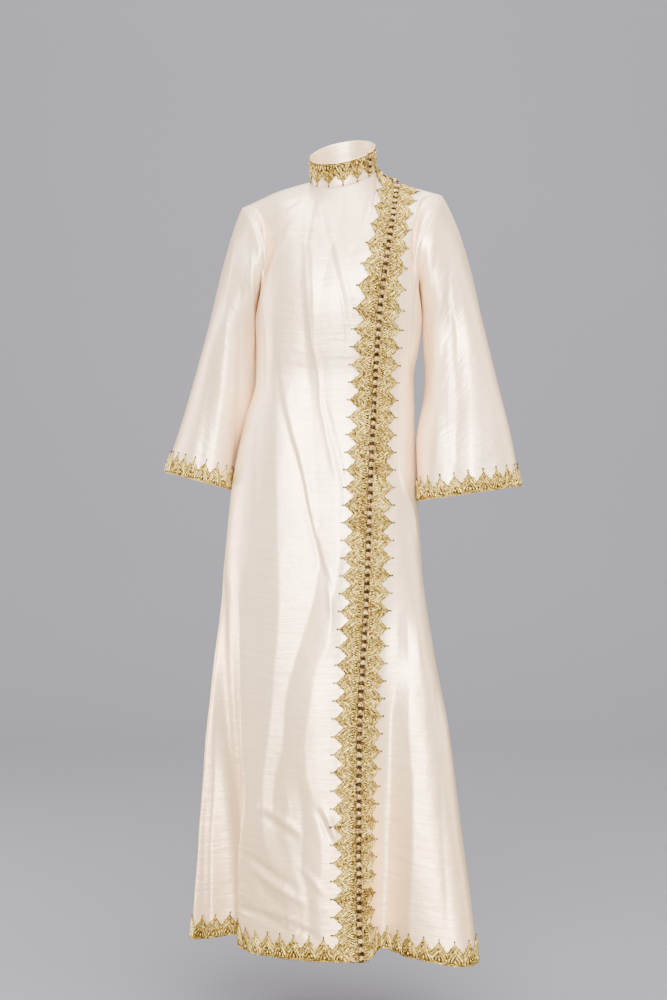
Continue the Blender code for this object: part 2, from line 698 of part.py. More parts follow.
def clear_of_body(grid, cloud, least, cuff):
    """Moves a sleeve's points outwards where they would come nearer the body than that."""
    spots, facing, edge = cloud
    pushed = np.zeros_like(grid)
    last = len(grid) - 1
    for r in range(1, last + 1):
        clear = cuff if r > last - 3 else least
        for c in range(grid.shape[1]):
            if grid[r, c, 2] > UNDERARM_HEIGHT:
                continue
            away = grid[r, c] - spots
            near = int(np.argmin((away**2).sum(axis=1)))
            if edge[near]:
                continue
            deep = float(away[near] @ facing[near])
            if deep < clear and np.linalg.norm(away[near]) < 60 * MM:
                pushed[r, c, :2] = facing[near][:2] * (clear - deep)
    for _ in range(2):
        beside = (np.roll(pushed, 1, axis=1) + np.roll(pushed, -1, axis=1)) / 2
        more = np.linalg.norm(beside, axis=2) > np.linalg.norm(pushed, axis=2)
        pushed = np.where(more[:, :, None], beside, pushed)
    pushed[1:-1] = np.maximum(np.abs(pushed[1:-1]), np.abs(pushed[:-2] + pushed[2:]) / 2) * np.sign(
        pushed[:-2] + pushed[1:-1] + pushed[2:]
    )
    return grid + pushed


def collar_points(columns, rows):
    """Outer points of the collar: rows up from the neck seam, columns from its end at the left by the front."""
    share = np.asarray(columns, float) / 28
    foot = neck_point(89 - 358 * share)
    lean = np.array([-0.03, -0.16, 1.0])
    lean /= np.linalg.norm(lean)
    tall = np.asarray(rows, float)[:, None, None] / 2 * COLLAR_TALL
    return foot + np.array([0, 0, 0.6 * MM]) + lean * tall


for old in list(bpy.data.objects):
    bpy.data.objects.remove(old, do_unlink=True)

# Body panels
rows = np.arange(SKIRT_ROWS + YOKE_ROWS + 1)
grids = {
    name: panel_points(panel, np.arange(panel.columns + 1), rows)
    for name, panel in (("front_right", RIGHT_FRONT), ("front_left", LEFT_FRONT), ("back", BACK))
}
normals = {name: normals_of(grid) for name, grid in grids.items()}
share_normals(normals["front_right"][:, -1], normals["front_left"][:, 0])
share_normals(normals["front_right"][:, 0], normals["back"][:, -1])
share_normals(normals["front_left"][:, -1], normals["back"][:, 0])
shoulder_up = np.array([-0.24, 0, 0.97]), np.array([0.2, 0, 0.98])
for name, first, last, up in (
    ("front_right", 5, 10, shoulder_up[0]),
    ("front_right", 20, 22, shoulder_up[1]),
    ("front_left", 0, 6, shoulder_up[1]),
    ("back", 6, 11, shoulder_up[1]),
    ("back", 17, 22, shoulder_up[0]),
):
    normals[name][-1, first : last + 1] = up
closing_line = grids["front_right"][:, -1].copy()
closing_normal = normals["front_right"][:, -1].copy()
for name, grid in grids.items():
    grids[name] = pull_in(grid, SEAM_GAP / 2)
    wall_solid(name, grids[name], normals[name], SILK)

# Sleeves
def armhole_edge(name, columns):
    top = np.concatenate([grids[name][-1], normals[name][-1]], axis=1)
    return top[columns]


cloud = cloth_cloud([(grids[name], normals[name]) for name in grids])
sleeves = {}
for name, rings, front, back, side in (
    ("sleeve_right", RIGHT_SLEEVE, ("front_right", range(5, -1, -1)), ("back", range(28, 21, -1)), -1),
    ("sleeve_left", LEFT_SLEEVE, ("front_left", range(6, 18)), ("back", range(0, 7)), 1),
):
    columns = np.arange(SLEEVE_COLUMNS)
    loop = armhole_loop(armhole_edge(*front), armhole_edge(*back), columns, side)
    grid = sleeve_points(rings, loop, columns, SLEEVE_ROWS)
    grid = clear_of_body(grid, cloud, *BODY_CLEAR)
    normal = normals_of(grid, side, closed=True)
    for _ in range(3):
        lying = ((grid[0] - normal[0] * WALL - loop[0]) * loop[2]).sum(axis=1)
        grid[0] += loop[2] * np.clip(SEAM_GAP - lying, 0, None)[:, None]
        normal = normals_of(grid, side, closed=True)
    sleeves[name] = (grid, normal)
    wall_solid(name, grid, normal, SILK, closed=True)

# Collar
collar_grid = collar_points(np.arange(29), np.arange(3))
collar_normal = normals_of(collar_grid, -1)
wall_solid("collar", collar_grid, collar_normal, SILK)


# Braids
def edge_row(along):
    """Two teeth to a row on the skirt and one to a row above the bust."""
    return along / 2 if along <= 2 * SKIRT_ROWS else min(SKIRT_ROWS + along - 2 * SKIRT_ROWS, 25.78)


def right_edge_place(along, share):
    last = RIGHT_COLUMNS + 2
    start = last - BUTTON_EDGE / RIGHT_EDGE[0]
    return edge_row(along), float(np.interp(share, [0, 1, 2], [start, last - 1, last - 1.98]))


def left_edge_place(along, share):
    return edge_row(along), float(np.interp(share, [0, 1, 2], [BUTTON_EDGE / LEFT_EDGE[0], 1, 1.98]))


edge_teeth = 2 * SKIRT_ROWS + YOKE_ROWS
braid_solid("braid_front_right", (grids["front_right"], normals["front_right"]), right_edge_place, edge_teeth)
braid_solid("braid_front_left", (grids["front_left"], normals["front_left"]), left_edge_place, edge_teeth)

hem_step = (BUST_HEIGHT - HEM_HEIGHT) / SKIRT_ROWS
for name, cloth, first, last in (
    ("braid_hem_right", "front_right", 0, RIGHT_COLUMNS),
    ("braid_hem_left", "front_left", 2, LEFT_COLUMNS + 2),
    ("braid_hem_back", "back", 0, BACK_COLUMNS),
):

    def hem_place(along, share, cloth=cloth, first=first, last=last):
        low = first + (0.04 if cloth == "front_left" else 0)
        high = last - (0.04 if cloth == "front_right" else 0)
        tall = np.interp(share, [0, 1, 2], [0, HEM_BRAID[0], HEM_BRAID[1]])
        return tall / hem_step, min(max(first + along, low), high)

    braid_solid(name, (grids[cloth], normals[cloth]), hem_place, last - first)

for name, sleeve in (("braid_cuff_right", "sleeve_right"), ("braid_cuff_left", "sleeve_left")):
    grid, normal = sleeves[sleeve]
    last_row = len(SLEEVE_ROWS) - 1
    long = np.linalg.norm(grid[-1] - grid[-2], axis=1)

    def cuff_place(along, share, long=long, last_row=last_row):
        tall = np.interp(share, [0, 1, 2], [0, CUFF_BRAID[0], CUFF_BRAID[1]])
        return last_row - tall / long[int(along) % SLEEVE_COLUMNS], along

    braid_solid(name, (grid, normal), cuff_place, SLEEVE_COLUMNS, closed=True, wrap=True)


def collar_place(along, share):
    deep = np.interp(share, [0, 1, 2], [0, COLLAR_BRAID[0], COLLAR_BRAID[1]])
    return 2 - 2 * deep / COLLAR_TALL, 2 * along


braid_solid("braid_collar", (collar_grid, collar_normal), collar_place, 14, split=True)

# Buttons: down the front, along the left shoulder and up the collar's end
steps = even_steps(closing_line, BUTTON_PITCH)
steps = steps[steps <= 25.7]
line, up = take(closing_line, steps), take(closing_normal, steps)
parts = np.linspace(0, len(steps) - 1, 4).round().astype(int) // 2 * 2
for i, name in enumerate(("buttons_low", "buttons_middle", "buttons_high")):
    part = slice(parts[i] + (1 if i else 0), parts[i + 1])
    centre, normal = line[part], up[part] / np.linalg.norm(up[part], axis=1)[:, None]
    button_row(name, centre, normal, np.gradient(centre, axis=0))

shoulder = shoulder_left(np.linspace(0.05, CLOSING_ON_SHOULDER - 0.04, 2 * 3 + 1))
lifted = np.tile(shoulder_up[1] / np.linalg.norm(shoulder_up[1]), (len(shoulder), 1))
button_row("buttons_shoulder", shoulder + lifted * SHOULDER_LIFT, lifted, np.gradient(shoulder, axis=0))

knots = np.linspace(0.55, 1.85, 2 * 2 + 1)
column, column_normal = take(collar_grid[:, COLLAR_KNOTS], knots), take(collar_normal[:, COLLAR_KNOTS], knots)
column = column + column_normal * (TRIM_GAP + BRAID_THICK)
button_row("buttons_collar", column, column_normal, np.gradient(column, axis=0))
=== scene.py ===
"""Looks of a long ivory silk gown with a stand collar, bell sleeves, toothed gold braid and knotted buttons.

Metres, +Z up, the front faces -Y and the wearer's left is +X. The cloth is worked out from the same tables of
sizes as the solids, finer and with its creases, and the braids and buttons are laid on it.
"""

import json
import math
from collections import namedtuple

import bmesh
import bpy
import numpy as np
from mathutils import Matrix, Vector

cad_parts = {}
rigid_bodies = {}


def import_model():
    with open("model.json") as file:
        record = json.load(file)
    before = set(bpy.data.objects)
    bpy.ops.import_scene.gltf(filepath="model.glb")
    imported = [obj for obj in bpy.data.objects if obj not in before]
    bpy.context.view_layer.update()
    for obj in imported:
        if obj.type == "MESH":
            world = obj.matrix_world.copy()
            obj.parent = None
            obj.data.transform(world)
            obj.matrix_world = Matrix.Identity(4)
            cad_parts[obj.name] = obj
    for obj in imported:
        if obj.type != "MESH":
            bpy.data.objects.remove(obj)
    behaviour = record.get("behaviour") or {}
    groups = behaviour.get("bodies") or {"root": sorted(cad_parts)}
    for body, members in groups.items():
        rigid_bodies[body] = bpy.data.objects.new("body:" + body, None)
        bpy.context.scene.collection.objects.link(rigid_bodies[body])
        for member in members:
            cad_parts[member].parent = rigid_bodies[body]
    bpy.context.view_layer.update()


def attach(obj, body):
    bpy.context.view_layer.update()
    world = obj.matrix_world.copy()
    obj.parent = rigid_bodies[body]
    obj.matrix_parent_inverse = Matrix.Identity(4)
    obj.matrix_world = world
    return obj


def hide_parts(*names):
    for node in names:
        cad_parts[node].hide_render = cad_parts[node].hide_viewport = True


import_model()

MM = 0.001

# Sizes
WALL = 1.6 * MM
SEAM_GAP = 0.3 * MM
TRIM_GAP = 0.9 * MM
BRAID_THICK = 1.6 * MM
HEM_HEIGHT = -1360 * MM
BUST_HEIGHT = -250 * MM
SKIRT_ROWS = 18
YOKE_ROWS = 8
TOP_ROW = SKIRT_ROWS + YOKE_ROWS
BUTTON_STEP = 14.5
SHOULDER_LIFT = 2.2 * MM
SHOULDER_ROW_TALL = 33 * MM
COLLAR_TALL = 42 * MM
COLLAR_COLUMNS = 28
COLLAR_KNOTS_COLUMN = 3.0

# The gown's outline at each height, in millimetres, and how far the skirt is turned, in degrees
Section = namedtuple("Section", "height left right front back turn pole")
SECTIONS = [
    Section(-250, -157, 141, -130, 104, 0, 0),
    Section(-300, -155, 135, -122, 96, 0, 0),
    Section(-350, -156, 127, -113, 91, 0, 0),
    Section(-420, -175, 129, -116, 104, 1, 5),
    Section(-480, -189, 132, -123, 118, 2, 10),
    Section(-550, -201, 135, -131, 131, 3, 20),
    Section(-690, -215, 142, -146, 148, 4, 35),
    Section(-830, -231, 161, -161, 162, 6, 50),
    Section(-970, -246, 187, -175, 174, 7, 60),
    Section(-1120, -259, 205, -187, 185, 8, 70),
    Section(-1250, -268, 222, -196, 194, 9, 76),
    Section(-1360, -276, 234, -202, 200, 10, 80),
]

# The closing line seen from the front, in millimetres
Closing = namedtuple("Closing", "height across")
CLOSING = [
    Closing(*row)
    for row in (
        (-1360, 31), (-1290, 27), (-1150, 26), (-1020, 26.5), (-925, 29), (-850, 33),
        (-745, 39), (-640, 43), (-510, 48), (-385, 54), (-310, 58), (-250, 62),
    )
]

# Folds: degrees round the skirt from the front (or from the closing), half widths either side,
# how far they stand out at the hem (less than 0 is a valley) and how much they lift it, in millimetres,
# and how many degrees further round their top is
Fold = namedtuple("Fold", "anchor at before after out starts growth lift drift")
FOLDS = {
    "front hollow": Fold("front", -28, 34, 36, -36, -560, 1.2, 1, 0),
    "right side valley": Fold("front", -61, 26, 38, -76, -600, 1.1, 12, -20),
    "closing valley": Fold("closing", 15, 15, 20, -62, -600, 1.8, 12, 0),
    "left knee": Fold("front", 59, 26, 34, 74, -480, 1.3, -8, 0),
    "left side dent": Fold("front", 106, 12, 13, -24, -700, 1.2, 2, 0),
    "back flute 1": Fold("front", 131, 14, 13, -38, -520, 1.2, 3, 0),
    "back flute 2": Fold("front", 160, 14, 15, -30, -460, 1.1, 2, 0),
    "back flute 3": Fold("front", 191, 15, 14, -36, -500, 1.2, 3, 0),
    "back flute 4": Fold("front", 221, 14, 15, -32, -560, 1.1, 2, 0),
    "back flute 5": Fold("front", 247, 12, 11, -26, -680, 1.2, 2, 0),
}

# Columns of the panels: the last ones follow the closing at a fixed distance
RIGHT_COLUMNS = 20
LEFT_COLUMNS = 15
BACK_COLUMNS = 28
RIGHT_EDGE = (31 * MM, 47 * MM)
LEFT_EDGE = (33 * MM, 50 * MM)

# Curves of the armholes, shoulders and neck, in millimetres
NECK_RIGHT = (-57, 0, 8)
NECK_LEFT = (58, 0, 30)
TIP_RIGHT = (-180, 8, -38)
TIP_LEFT = (178, 8, -16)
UNDER_RIGHT = (-150, 2, -190)
UNDER_LEFT = (138, 2, -192)
SHOULDER_RIGHT = [TIP_RIGHT, (-112, 5, -8), NECK_RIGHT]
SHOULDER_LEFT = [NECK_LEFT, (74, 2, 14), (100, 4, 5), (140, 6, -6), TIP_LEFT]
ARMHOLE_FRONT_RIGHT = [UNDER_RIGHT, (-146, -50, -168), (-146, -72, -118), (-164, -42, -66), TIP_RIGHT]
ARMHOLE_FRONT_LEFT = [UNDER_LEFT, (136, -50, -166), (140, -72, -108), (162, -42, -50), TIP_LEFT]
ARMHOLE_BACK_RIGHT = [UNDER_RIGHT, (-150, 52, -162), (-153, 66, -112), (-168, 46, -62), TIP_RIGHT]
ARMHOLE_BACK_LEFT = [UNDER_LEFT, (141, 52, -160), (147, 66, -104), (165, 46, -46), TIP_LEFT]
NECK_WIDE = 57.5
NECK_FRONT = 60
NECK_BACK = 60
NECK_RISE = (18.5, 0.191, 0.43)
CLOSING_ON_SHOULDER = 0.35
SHOULDER_LEFT_LONG = 131

# Rings of the sleeves at the upper arm, the elbow, the flare and the cuff, in millimetres: the outer and the
# inner edge, the middle's depth and half the ring's depth
Ring = namedtuple("Ring", "outer_x outer_z inner_x inner_z middle_y half_deep")
RIGHT_SLEEVE = [
    Ring(-244, -258, -154, -264, 30, 62),
    Ring(-279, -380, -153, -398, 50, 66),
    Ring(-301, -452, -171, -478, 55, 69),
    Ring(-324, -515, -187, -550, 58, 72),
]
LEFT_SLEEVE = [
    Ring(254, -250, 142, -264, 4, 58),
    Ring(277, -350, 147, -365, -14, 62),
    Ring(298, -440, 129, -462, -40, 66),
    Ring(317, -541, 130, -567, -50, 70),
]
SLEEVE_COLUMNS = 22
SLEEVE_ROWS = [0, 0.06, 0.13, 0.21, 0.3, 0.4, 0.5, 0.6, 0.7, 0.8, 0.9, 1.0]
CAP_ROUND = (5 * MM, 11 * MM)
CAP_SHARE = 0.42
NEAR_SHARE = 0.15
NEAR_ROUND = 0.75
UNDERARM_HEIGHT = -193 * MM

# The sleeves are kept this clear of the body (at the cuff more), as far as they are that near
BODY_CLEAR = (2.4 * MM, 6 * MM)
CUFF_ROWS = 3
NEAR_BODY = 60 * MM
PUSH_SPREADS = 2
PUSH_SMOOTHINGS = 6


def smooth_values(knots, values, at):
    """A curve through the values that doesn't overshoot them."""
    knots, values = np.asarray(knots, float), np.asarray(values, float)
    if knots[0] > knots[-1]:
        knots, values = knots[::-1], values[::-1]
    step = np.diff(knots)
    slope = np.diff(values) / step
    bend = np.zeros(len(knots))
    same = slope[:-1] * slope[1:] > 0
    mean = 2 * slope[:-1] * slope[1:] / np.where(same, slope[:-1] + slope[1:], 1)
    bend[1:-1] = np.where(same, mean, 0)
    bend[0], bend[-1] = slope[0], slope[-1]
    at = np.clip(at, knots[0], knots[-1])
    i = np.clip(np.searchsorted(knots, at, side="right") - 1, 0, len(knots) - 2)
    t = (at - knots[i]) / step[i]
    rise = 3 * t**2 - 2 * t**3
    start = t**3 - 2 * t**2 + t
    end = t**3 - t**2
    level = values[i] * (1 - rise) + values[i + 1] * rise
    return level + step[i] * (start * bend[i] + end * bend[i + 1])


def table_value(table, key, height):
    """A column of a table of heights, read between its rows, in millimetres or degrees."""
    heights = [row.height * MM for row in table]
    return float(smooth_values(heights, [getattr(row, key) for row in table], height))


def run_along(points):
    """How far each point of a line is from its start, along it."""
    return np.concatenate([[0], np.cumsum(np.linalg.norm(np.diff(points, axis=0), axis=1))])


def read_along(at, spots, points):
    """Rows of values given at spots, read at other places."""
    return np.stack([np.interp(at, spots, points[:, k]) for k in range(points.shape[1])], axis=-1)


def through(points, t):
    """A smooth curve through points given in millimetres, at shares t of its length."""
    points = np.asarray(points, float) * MM
    reach = run_along(points)
    fine = np.linspace(0, reach[-1], 60)
    bend = np.gradient(points, reach, axis=0)
    i = np.clip(np.searchsorted(reach, fine, side="right") - 1, 0, len(points) - 2)
    step = (reach[i + 1] - reach[i])[:, None]
    x = (fine[:, None] - reach[i][:, None]) / step
    rise = 3 * x**2 - 2 * x**3
    line = points[i] * (1 - rise) + points[i + 1] * rise
    line += step * ((x**3 - 2 * x**2 + x) * bend[i] + (x**3 - x**2) * bend[i + 1])
    run = run_along(line)
    return read_along(np.asarray(t, float) * run[-1], run, line)


def fold_shape(turn, fold, at):
    """How much of a fold is felt at each turn round the skirt, in 0 to 1."""
    off = (turn - at + 180) % 360 - 180
    share = np.where(off < 0, -off / fold.before, off / fold.after)
    return np.where(share < 1, 0.5 + 0.5 * np.cos(np.pi * np.clip(share, 0, 1)), 0)


SECTION_CACHE = {}


def body_section(height):
    """The gown's section at a height: points round it, their run, and where its seams are on that run."""
    key = round(height, 6)
    if key in SECTION_CACHE:
        return SECTION_CACHE[key]
    turn = np.linspace(-180, 180, 1441)
    left, right, front, back = (
        table_value(SECTIONS, name, height) * MM for name in ("left", "right", "front", "back")
    )
    middle = np.array([(left + right) / 2, (front + back) / 2])
    angle = np.radians(turn)
    square = 1 + 0.03 * np.sin(2 * angle) ** 2
    oval = np.stack([np.sin(angle) * (right - left) / 2, -np.cos(angle) * (back - front) / 2], axis=-1)
    oval *= square[:, None]
    spin = math.radians(table_value(SECTIONS, "turn", height))
    oval = oval @ np.array([[math.cos(spin), -math.sin(spin)], [math.sin(spin), math.cos(spin)]])
    points = oval + middle
    ahead = np.abs(turn) < 90
    across = table_value(CLOSING, "across", height) * MM
    closing_turn = float(np.interp(across, points[ahead, 0], turn[ahead]))
    pole = np.array([middle[0], table_value(SECTIONS, "pole", height) * MM])
    away = points - pole
    away /= np.linalg.norm(away, axis=1)[:, None]
    out, lift = np.zeros(len(turn)), np.zeros(len(turn))
    for fold in FOLDS.values():
        starts = fold.starts * MM
        down = max(0.0, (starts - height) / (starts - HEM_HEIGHT))
        grown = down**fold.growth
        at = fold.at + fold.drift * (1 - down) + (closing_turn if fold.anchor == "closing" else 0)
        felt = fold_shape(turn, fold, at) * grown
        out += felt * fold.out * MM
        lift += felt * fold.lift * MM
    points = points + away * out[:, None]
    low, high = points[:, 0].min(), points[:, 0].max()
    side = points[:, 0] - middle[0]
    to_left, to_right = (left - middle[0]) / (low - middle[0]), (right - middle[0]) / (high - middle[0])
    wide = np.where(side < 0, to_left, to_right)
    points[:, 0] = middle[0] + side * wide
    run = run_along(points)
    near = np.flatnonzero(ahead & (np.abs(turn - closing_turn) < 12))
    order = near[np.argsort(points[near, 0])]
    closing = float(np.interp(across, points[order, 0], run[order]))
    right_side, left_side = float(np.interp(-90, turn, run)), float(np.interp(90, turn, run))
    seams = (right_side, closing, left_side, right_side + run[-1])
    xyz = np.column_stack([points, height + lift])
    SECTION_CACHE[key] = (xyz, run, seams)
    return SECTION_CACHE[key]


def right_front_run(columns, seams):
    """The places of the right front's columns on a section's run, from the side seam to the closing."""
    edge = seams[1]
    stops = [seams[0], edge - RIGHT_EDGE[1], edge - RIGHT_EDGE[0], edge]
    return np.interp(columns, [0, RIGHT_COLUMNS, RIGHT_COLUMNS + 1, RIGHT_COLUMNS + 2], stops)


def left_front_run(columns, seams):
    edge = seams[1]
    stops = [edge, edge + LEFT_EDGE[0], edge + LEFT_EDGE[1], seams[2]]
    return np.interp(columns, [0, 1, 2, LEFT_COLUMNS + 2], stops)


def back_run(columns, seams):
    return np.interp(columns, [0, BACK_COLUMNS], seams[2:])


def section_points(run_of, columns, height):
    xyz, run, seams = body_section(height)
    at = run_of(np.asarray(columns, float), seams) % run[-1]
    return read_along(at, run, xyz)


def neck_point(angle):
    """The neck seam, 0 at the front and 90 at the wearer's left."""
    angle = np.radians(np.asarray(angle, float))
    x = NECK_WIDE * np.sin(angle) + 0.5
    y = np.where(np.cos(angle) > 0, -NECK_FRONT, -NECK_BACK) * np.cos(angle)
    return np.stack([x, y, NECK_RISE[0] + NECK_RISE[1] * x + NECK_RISE[2] * y], axis=-1) * MM


def edge_points(columns, stretches):
    """The top edge of a panel, from stretches of (first column, last column, curve of shares 0 to 1)."""
    columns = np.asarray(columns, float)
    out = np.zeros((len(columns), 3))
    for first, last, curve in stretches:
        here = (columns >= first - 1e-9) & (columns <= last + 1e-9)
        out[here] = curve((columns[here] - first) / (last - first))
    return out


def shoulder_left(share):
    return through(SHOULDER_LEFT, share)


def right_front_top(columns):
    stop = CLOSING_ON_SHOULDER
    near = stop * (1 - RIGHT_EDGE[0] / RIGHT_EDGE[1])
    return edge_points(
        columns,
        [
            (0, 5, lambda t: through(ARMHOLE_FRONT_RIGHT, t)),
            (5, 10, lambda t: through(SHOULDER_RIGHT, t)),
            (10, RIGHT_COLUMNS, lambda t: neck_point(-90 + 180 * t)),
            (RIGHT_COLUMNS, RIGHT_COLUMNS + 1, lambda t: shoulder_left(near * t)),
            (RIGHT_COLUMNS + 1, RIGHT_COLUMNS + 2, lambda t: shoulder_left(near + (stop - near) * t)),
        ],
    )


def left_front_top(columns):
    long = SHOULDER_LEFT_LONG * MM
    stop = CLOSING_ON_SHOULDER
    near, far = (stop + wide / long for wide in LEFT_EDGE)
    return edge_points(
        columns,
        [
            (0, 1, lambda t: shoulder_left(stop + (near - stop) * t)),
            (1, 2, lambda t: shoulder_left(near + (far - near) * t)),
            (2, 6, lambda t: shoulder_left(far + (1 - far) * t)),
            (6, LEFT_COLUMNS + 2, lambda t: through(ARMHOLE_FRONT_LEFT[::-1], t)),
        ],
    )


def back_top(columns):
    return edge_points(
        columns,
        [
            (0, 6, lambda t: through(ARMHOLE_BACK_LEFT, t)),
            (6, 11, lambda t: shoulder_left(1 - t)),
            (11, 17, lambda t: neck_point(90 + 180 * t)),
            (17, 22, lambda t: through(SHOULDER_RIGHT[::-1], t)),
            (22, 28, lambda t: through(ARMHOLE_BACK_RIGHT[::-1], t)),
        ],
    )


# How far below the bust the skirt's direction is taken, and how far the yoke's curve holds it
# and the one at its top edge, as shares of its reach
YOKE_LOOKS_BACK = 20 * MM
YOKE_LEAVES = 0.36
YOKE_ARRIVES = 0.33

# How the cloth arrives at its top edge: (column, across, forward or back, up)
RIGHT_FRONT_ARRIVES = [
    (0, 0, 0, 1), (1, -0.1, 0, 1), (2, -0.4, 0.25, 0.88), (3, -0.8, 0.4, 0.45), (4, -0.75, 0.6, 0.25),
    (5, -0.8, 0.57, -0.2), (7, -0.4, 0.85, 0.08), (10, 0.2, 0.8, 0.45), (12, 0.1, 0.55, 0.82),
    (15, 0, 0.3, 0.95), (18, -0.1, 0.5, 0.85), (20, -0.1, 0.72, 0.68), (22, 0, 0.85, 0.5),
]
LEFT_FRONT_ARRIVES = [
    (0, 0, 0.85, 0.5), (3, 0.35, 0.85, 0.2), (6, 0.8, 0.57, -0.16), (8.2, 0.75, 0.6, 0.25),
    (10.4, 0.8, 0.4, 0.45), (12.6, 0.4, 0.25, 0.88), (15, 0.1, 0, 1), (17, 0, 0, 1),
]
BACK_ARRIVES = [
    (0, 0, 0, 1), (1.2, 0.1, 0, 1), (2.4, 0.4, -0.25, 0.88), (3.6, 0.8, -0.4, 0.45),
    (4.8, 0.75, -0.6, 0.25), (6, 0.8, -0.57, -0.16), (8.5, 0.3, -0.85, 0.2), (11, -0.35, -0.78, 0.4),
    (12.5, -0.2, -0.68, 0.65), (14, 0, -0.55, 0.83), (15.5, 0.2, -0.7, 0.5), (17, 0.35, -0.9, 0.05),
    (19.5, -0.35, -0.85, 0.1), (22, -0.8, -0.57, -0.2), (23.2, -0.75, -0.6, 0.25),
    (24.4, -0.8, -0.4, 0.45), (25.6, -0.4, -0.25, 0.88), (26.8, -0.1, 0, 1), (28, 0, 0, 1),
]

Panel = namedtuple("Panel", "run_of top arrives columns")
RIGHT_FRONT = Panel(right_front_run, right_front_top, RIGHT_FRONT_ARRIVES, RIGHT_COLUMNS + 2)
LEFT_FRONT = Panel(left_front_run, left_front_top, LEFT_FRONT_ARRIVES, LEFT_COLUMNS + 2)
BACK = Panel(back_run, back_top, BACK_ARRIVES, BACK_COLUMNS)


def yoke_points(panel, columns, shares):
    """The part above the bust: each column runs on from the skirt's and bends over to the top edge."""
    start = section_points(panel.run_of, columns, BUST_HEIGHT)
    below = section_points(panel.run_of, columns, BUST_HEIGHT - YOKE_LOOKS_BACK)
    rise = start - below
    rise /= np.linalg.norm(rise, axis=1)[:, None]
    end = panel.top(columns)
    arrives = np.array(panel.arrives, float)
    arrive = read_along(columns, arrives[:, 0], arrives[:, 1:])
    arrive /= np.linalg.norm(arrive, axis=1)[:, None]
    reach = np.linalg.norm(end - start, axis=1)[:, None]
    first = start + rise * reach * YOKE_LEAVES
    second = end - arrive * reach * YOKE_ARRIVES
    t = np.asarray(shares, float)[:, None, None]
    return (1 - t) ** 3 * start + 3 * (1 - t) ** 2 * t * first + 3 * (1 - t) * t**2 * second + t**3 * end


def panel_points(panel, columns, rows):
    """Outer points of a panel, rows up from the hem and columns across."""
    columns, rows = np.asarray(columns, float), np.asarray(rows, float)
    step = (BUST_HEIGHT - HEM_HEIGHT) / SKIRT_ROWS
    heights = [HEM_HEIGHT + step * row for row in rows if row <= SKIRT_ROWS]
    skirt = [section_points(panel.run_of, columns, height) for height in heights]
    shares = [(row - SKIRT_ROWS) / YOKE_ROWS for row in rows if row > SKIRT_ROWS]
    return np.concatenate([np.array(skirt), yoke_points(panel, columns, shares)])


def unit(vectors):
    return vectors / np.linalg.norm(vectors, axis=-1, keepdims=True)


def share_normals(first, second):
    """Both pieces of a seam use the direction between their own."""
    mean = unit(first + second)
    mean = mean / np.clip((mean * unit(first)).sum(axis=-1, keepdims=True), 0.6, 1)
    first[...], second[...] = mean, mean


def pull_in(grid, gap):
    """Moves the side and top edges of a panel back from its seams."""
    out = grid.copy()
    for edge, near in ((0, 1), (-1, -2)):
        step = grid[:, near] - grid[:, edge]
        out[:, edge] += gap * step / np.linalg.norm(step, axis=1)[:, None]
    step = out[-2] - out[-1]
    out[-1] += gap * step / np.linalg.norm(step, axis=1)[:, None]
    return out


def along_edge(points, share):
    """An edge's points and directions at shares of its length."""
    run = run_along(points[:, :3])
    return read_along(np.asarray(share, float) * run[-1], run, points)


def armhole_loop(front, back, columns, side):
    """Points on the panels' edges from the shoulder's tip round by the front, and how to step off each.

    front and back hold an edge's points and its outward directions, tip to underarm and underarm to tip.
    """
    share = 2 * np.asarray(columns, float) / SLEEVE_COLUMNS
    ahead, behind = along_edge(front, np.clip(share, 0, 1)), along_edge(back, np.clip(share - 1, 0, 1))
    both = np.where((share <= 1)[:, None], ahead, behind)
    points, facing = both[:, :3], unit(both[:, 3:])
    edge = unit(np.roll(points, -1, axis=0) - np.roll(points, 1, axis=0))
    off = unit(np.cross(facing, edge)) * side
    return points, facing, off


def sleeve_points(rings, loop, columns, shares):
    """Outer points of a sleeve: rows from armhole to cuff, columns from the top round by the front."""
    angle = 360 * np.asarray(columns, float) / SLEEVE_COLUMNS
    hole, facing, off = loop
    turn = np.radians(angle)
    loops = []
    for ring in rings:
        outer = np.array([ring.outer_x, ring.middle_y, ring.outer_z]) * MM
        inner = np.array([ring.inner_x, ring.middle_y, ring.inner_z]) * MM
        half = (outer - inner) / 2
        loop = (outer + inner) / 2 + np.cos(turn)[:, None] * half
        loop[:, 1] -= np.sin(turn) * ring.half_deep * MM
        loops.append(loop)
    side = math.copysign(1, rings[0].outer_x)
    round_out = np.zeros_like(hole)
    bulge = CAP_ROUND[0 if side < 0 else 1]
    round_out[:, 0] = side * bulge * np.cos(turn / 2) ** 2
    round_out[:, 1] = -CAP_ROUND[0] * np.sin(turn)
    cap = hole * (1 - CAP_SHARE) + loops[0] * CAP_SHARE + round_out
    near = hole * (1 - NEAR_SHARE) + loops[0] * NEAR_SHARE + round_out * NEAR_ROUND
    leave = unit(near - hole)
    edge = unit(np.roll(hole, -1, axis=0) - np.roll(hole, 1, axis=0))
    own = unit(np.cross(leave, edge)) * -side
    over = np.clip((own * off).sum(axis=1), 0, 1)[:, None]
    back_down = np.clip(-(leave * off).sum(axis=1) * 1.5, 0, 1)[:, None]
    hole = hole + off * (SEAM_GAP + WALL * over) + facing * SEAM_GAP * 1.6 * back_down
    lines = [hole, near, cap, *loops]
    out = np.zeros((len(shares), len(angle), 3))
    for i in range(len(angle)):
        out[:, i] = through(np.array([line[i] for line in lines]) / MM, shares)
    return out


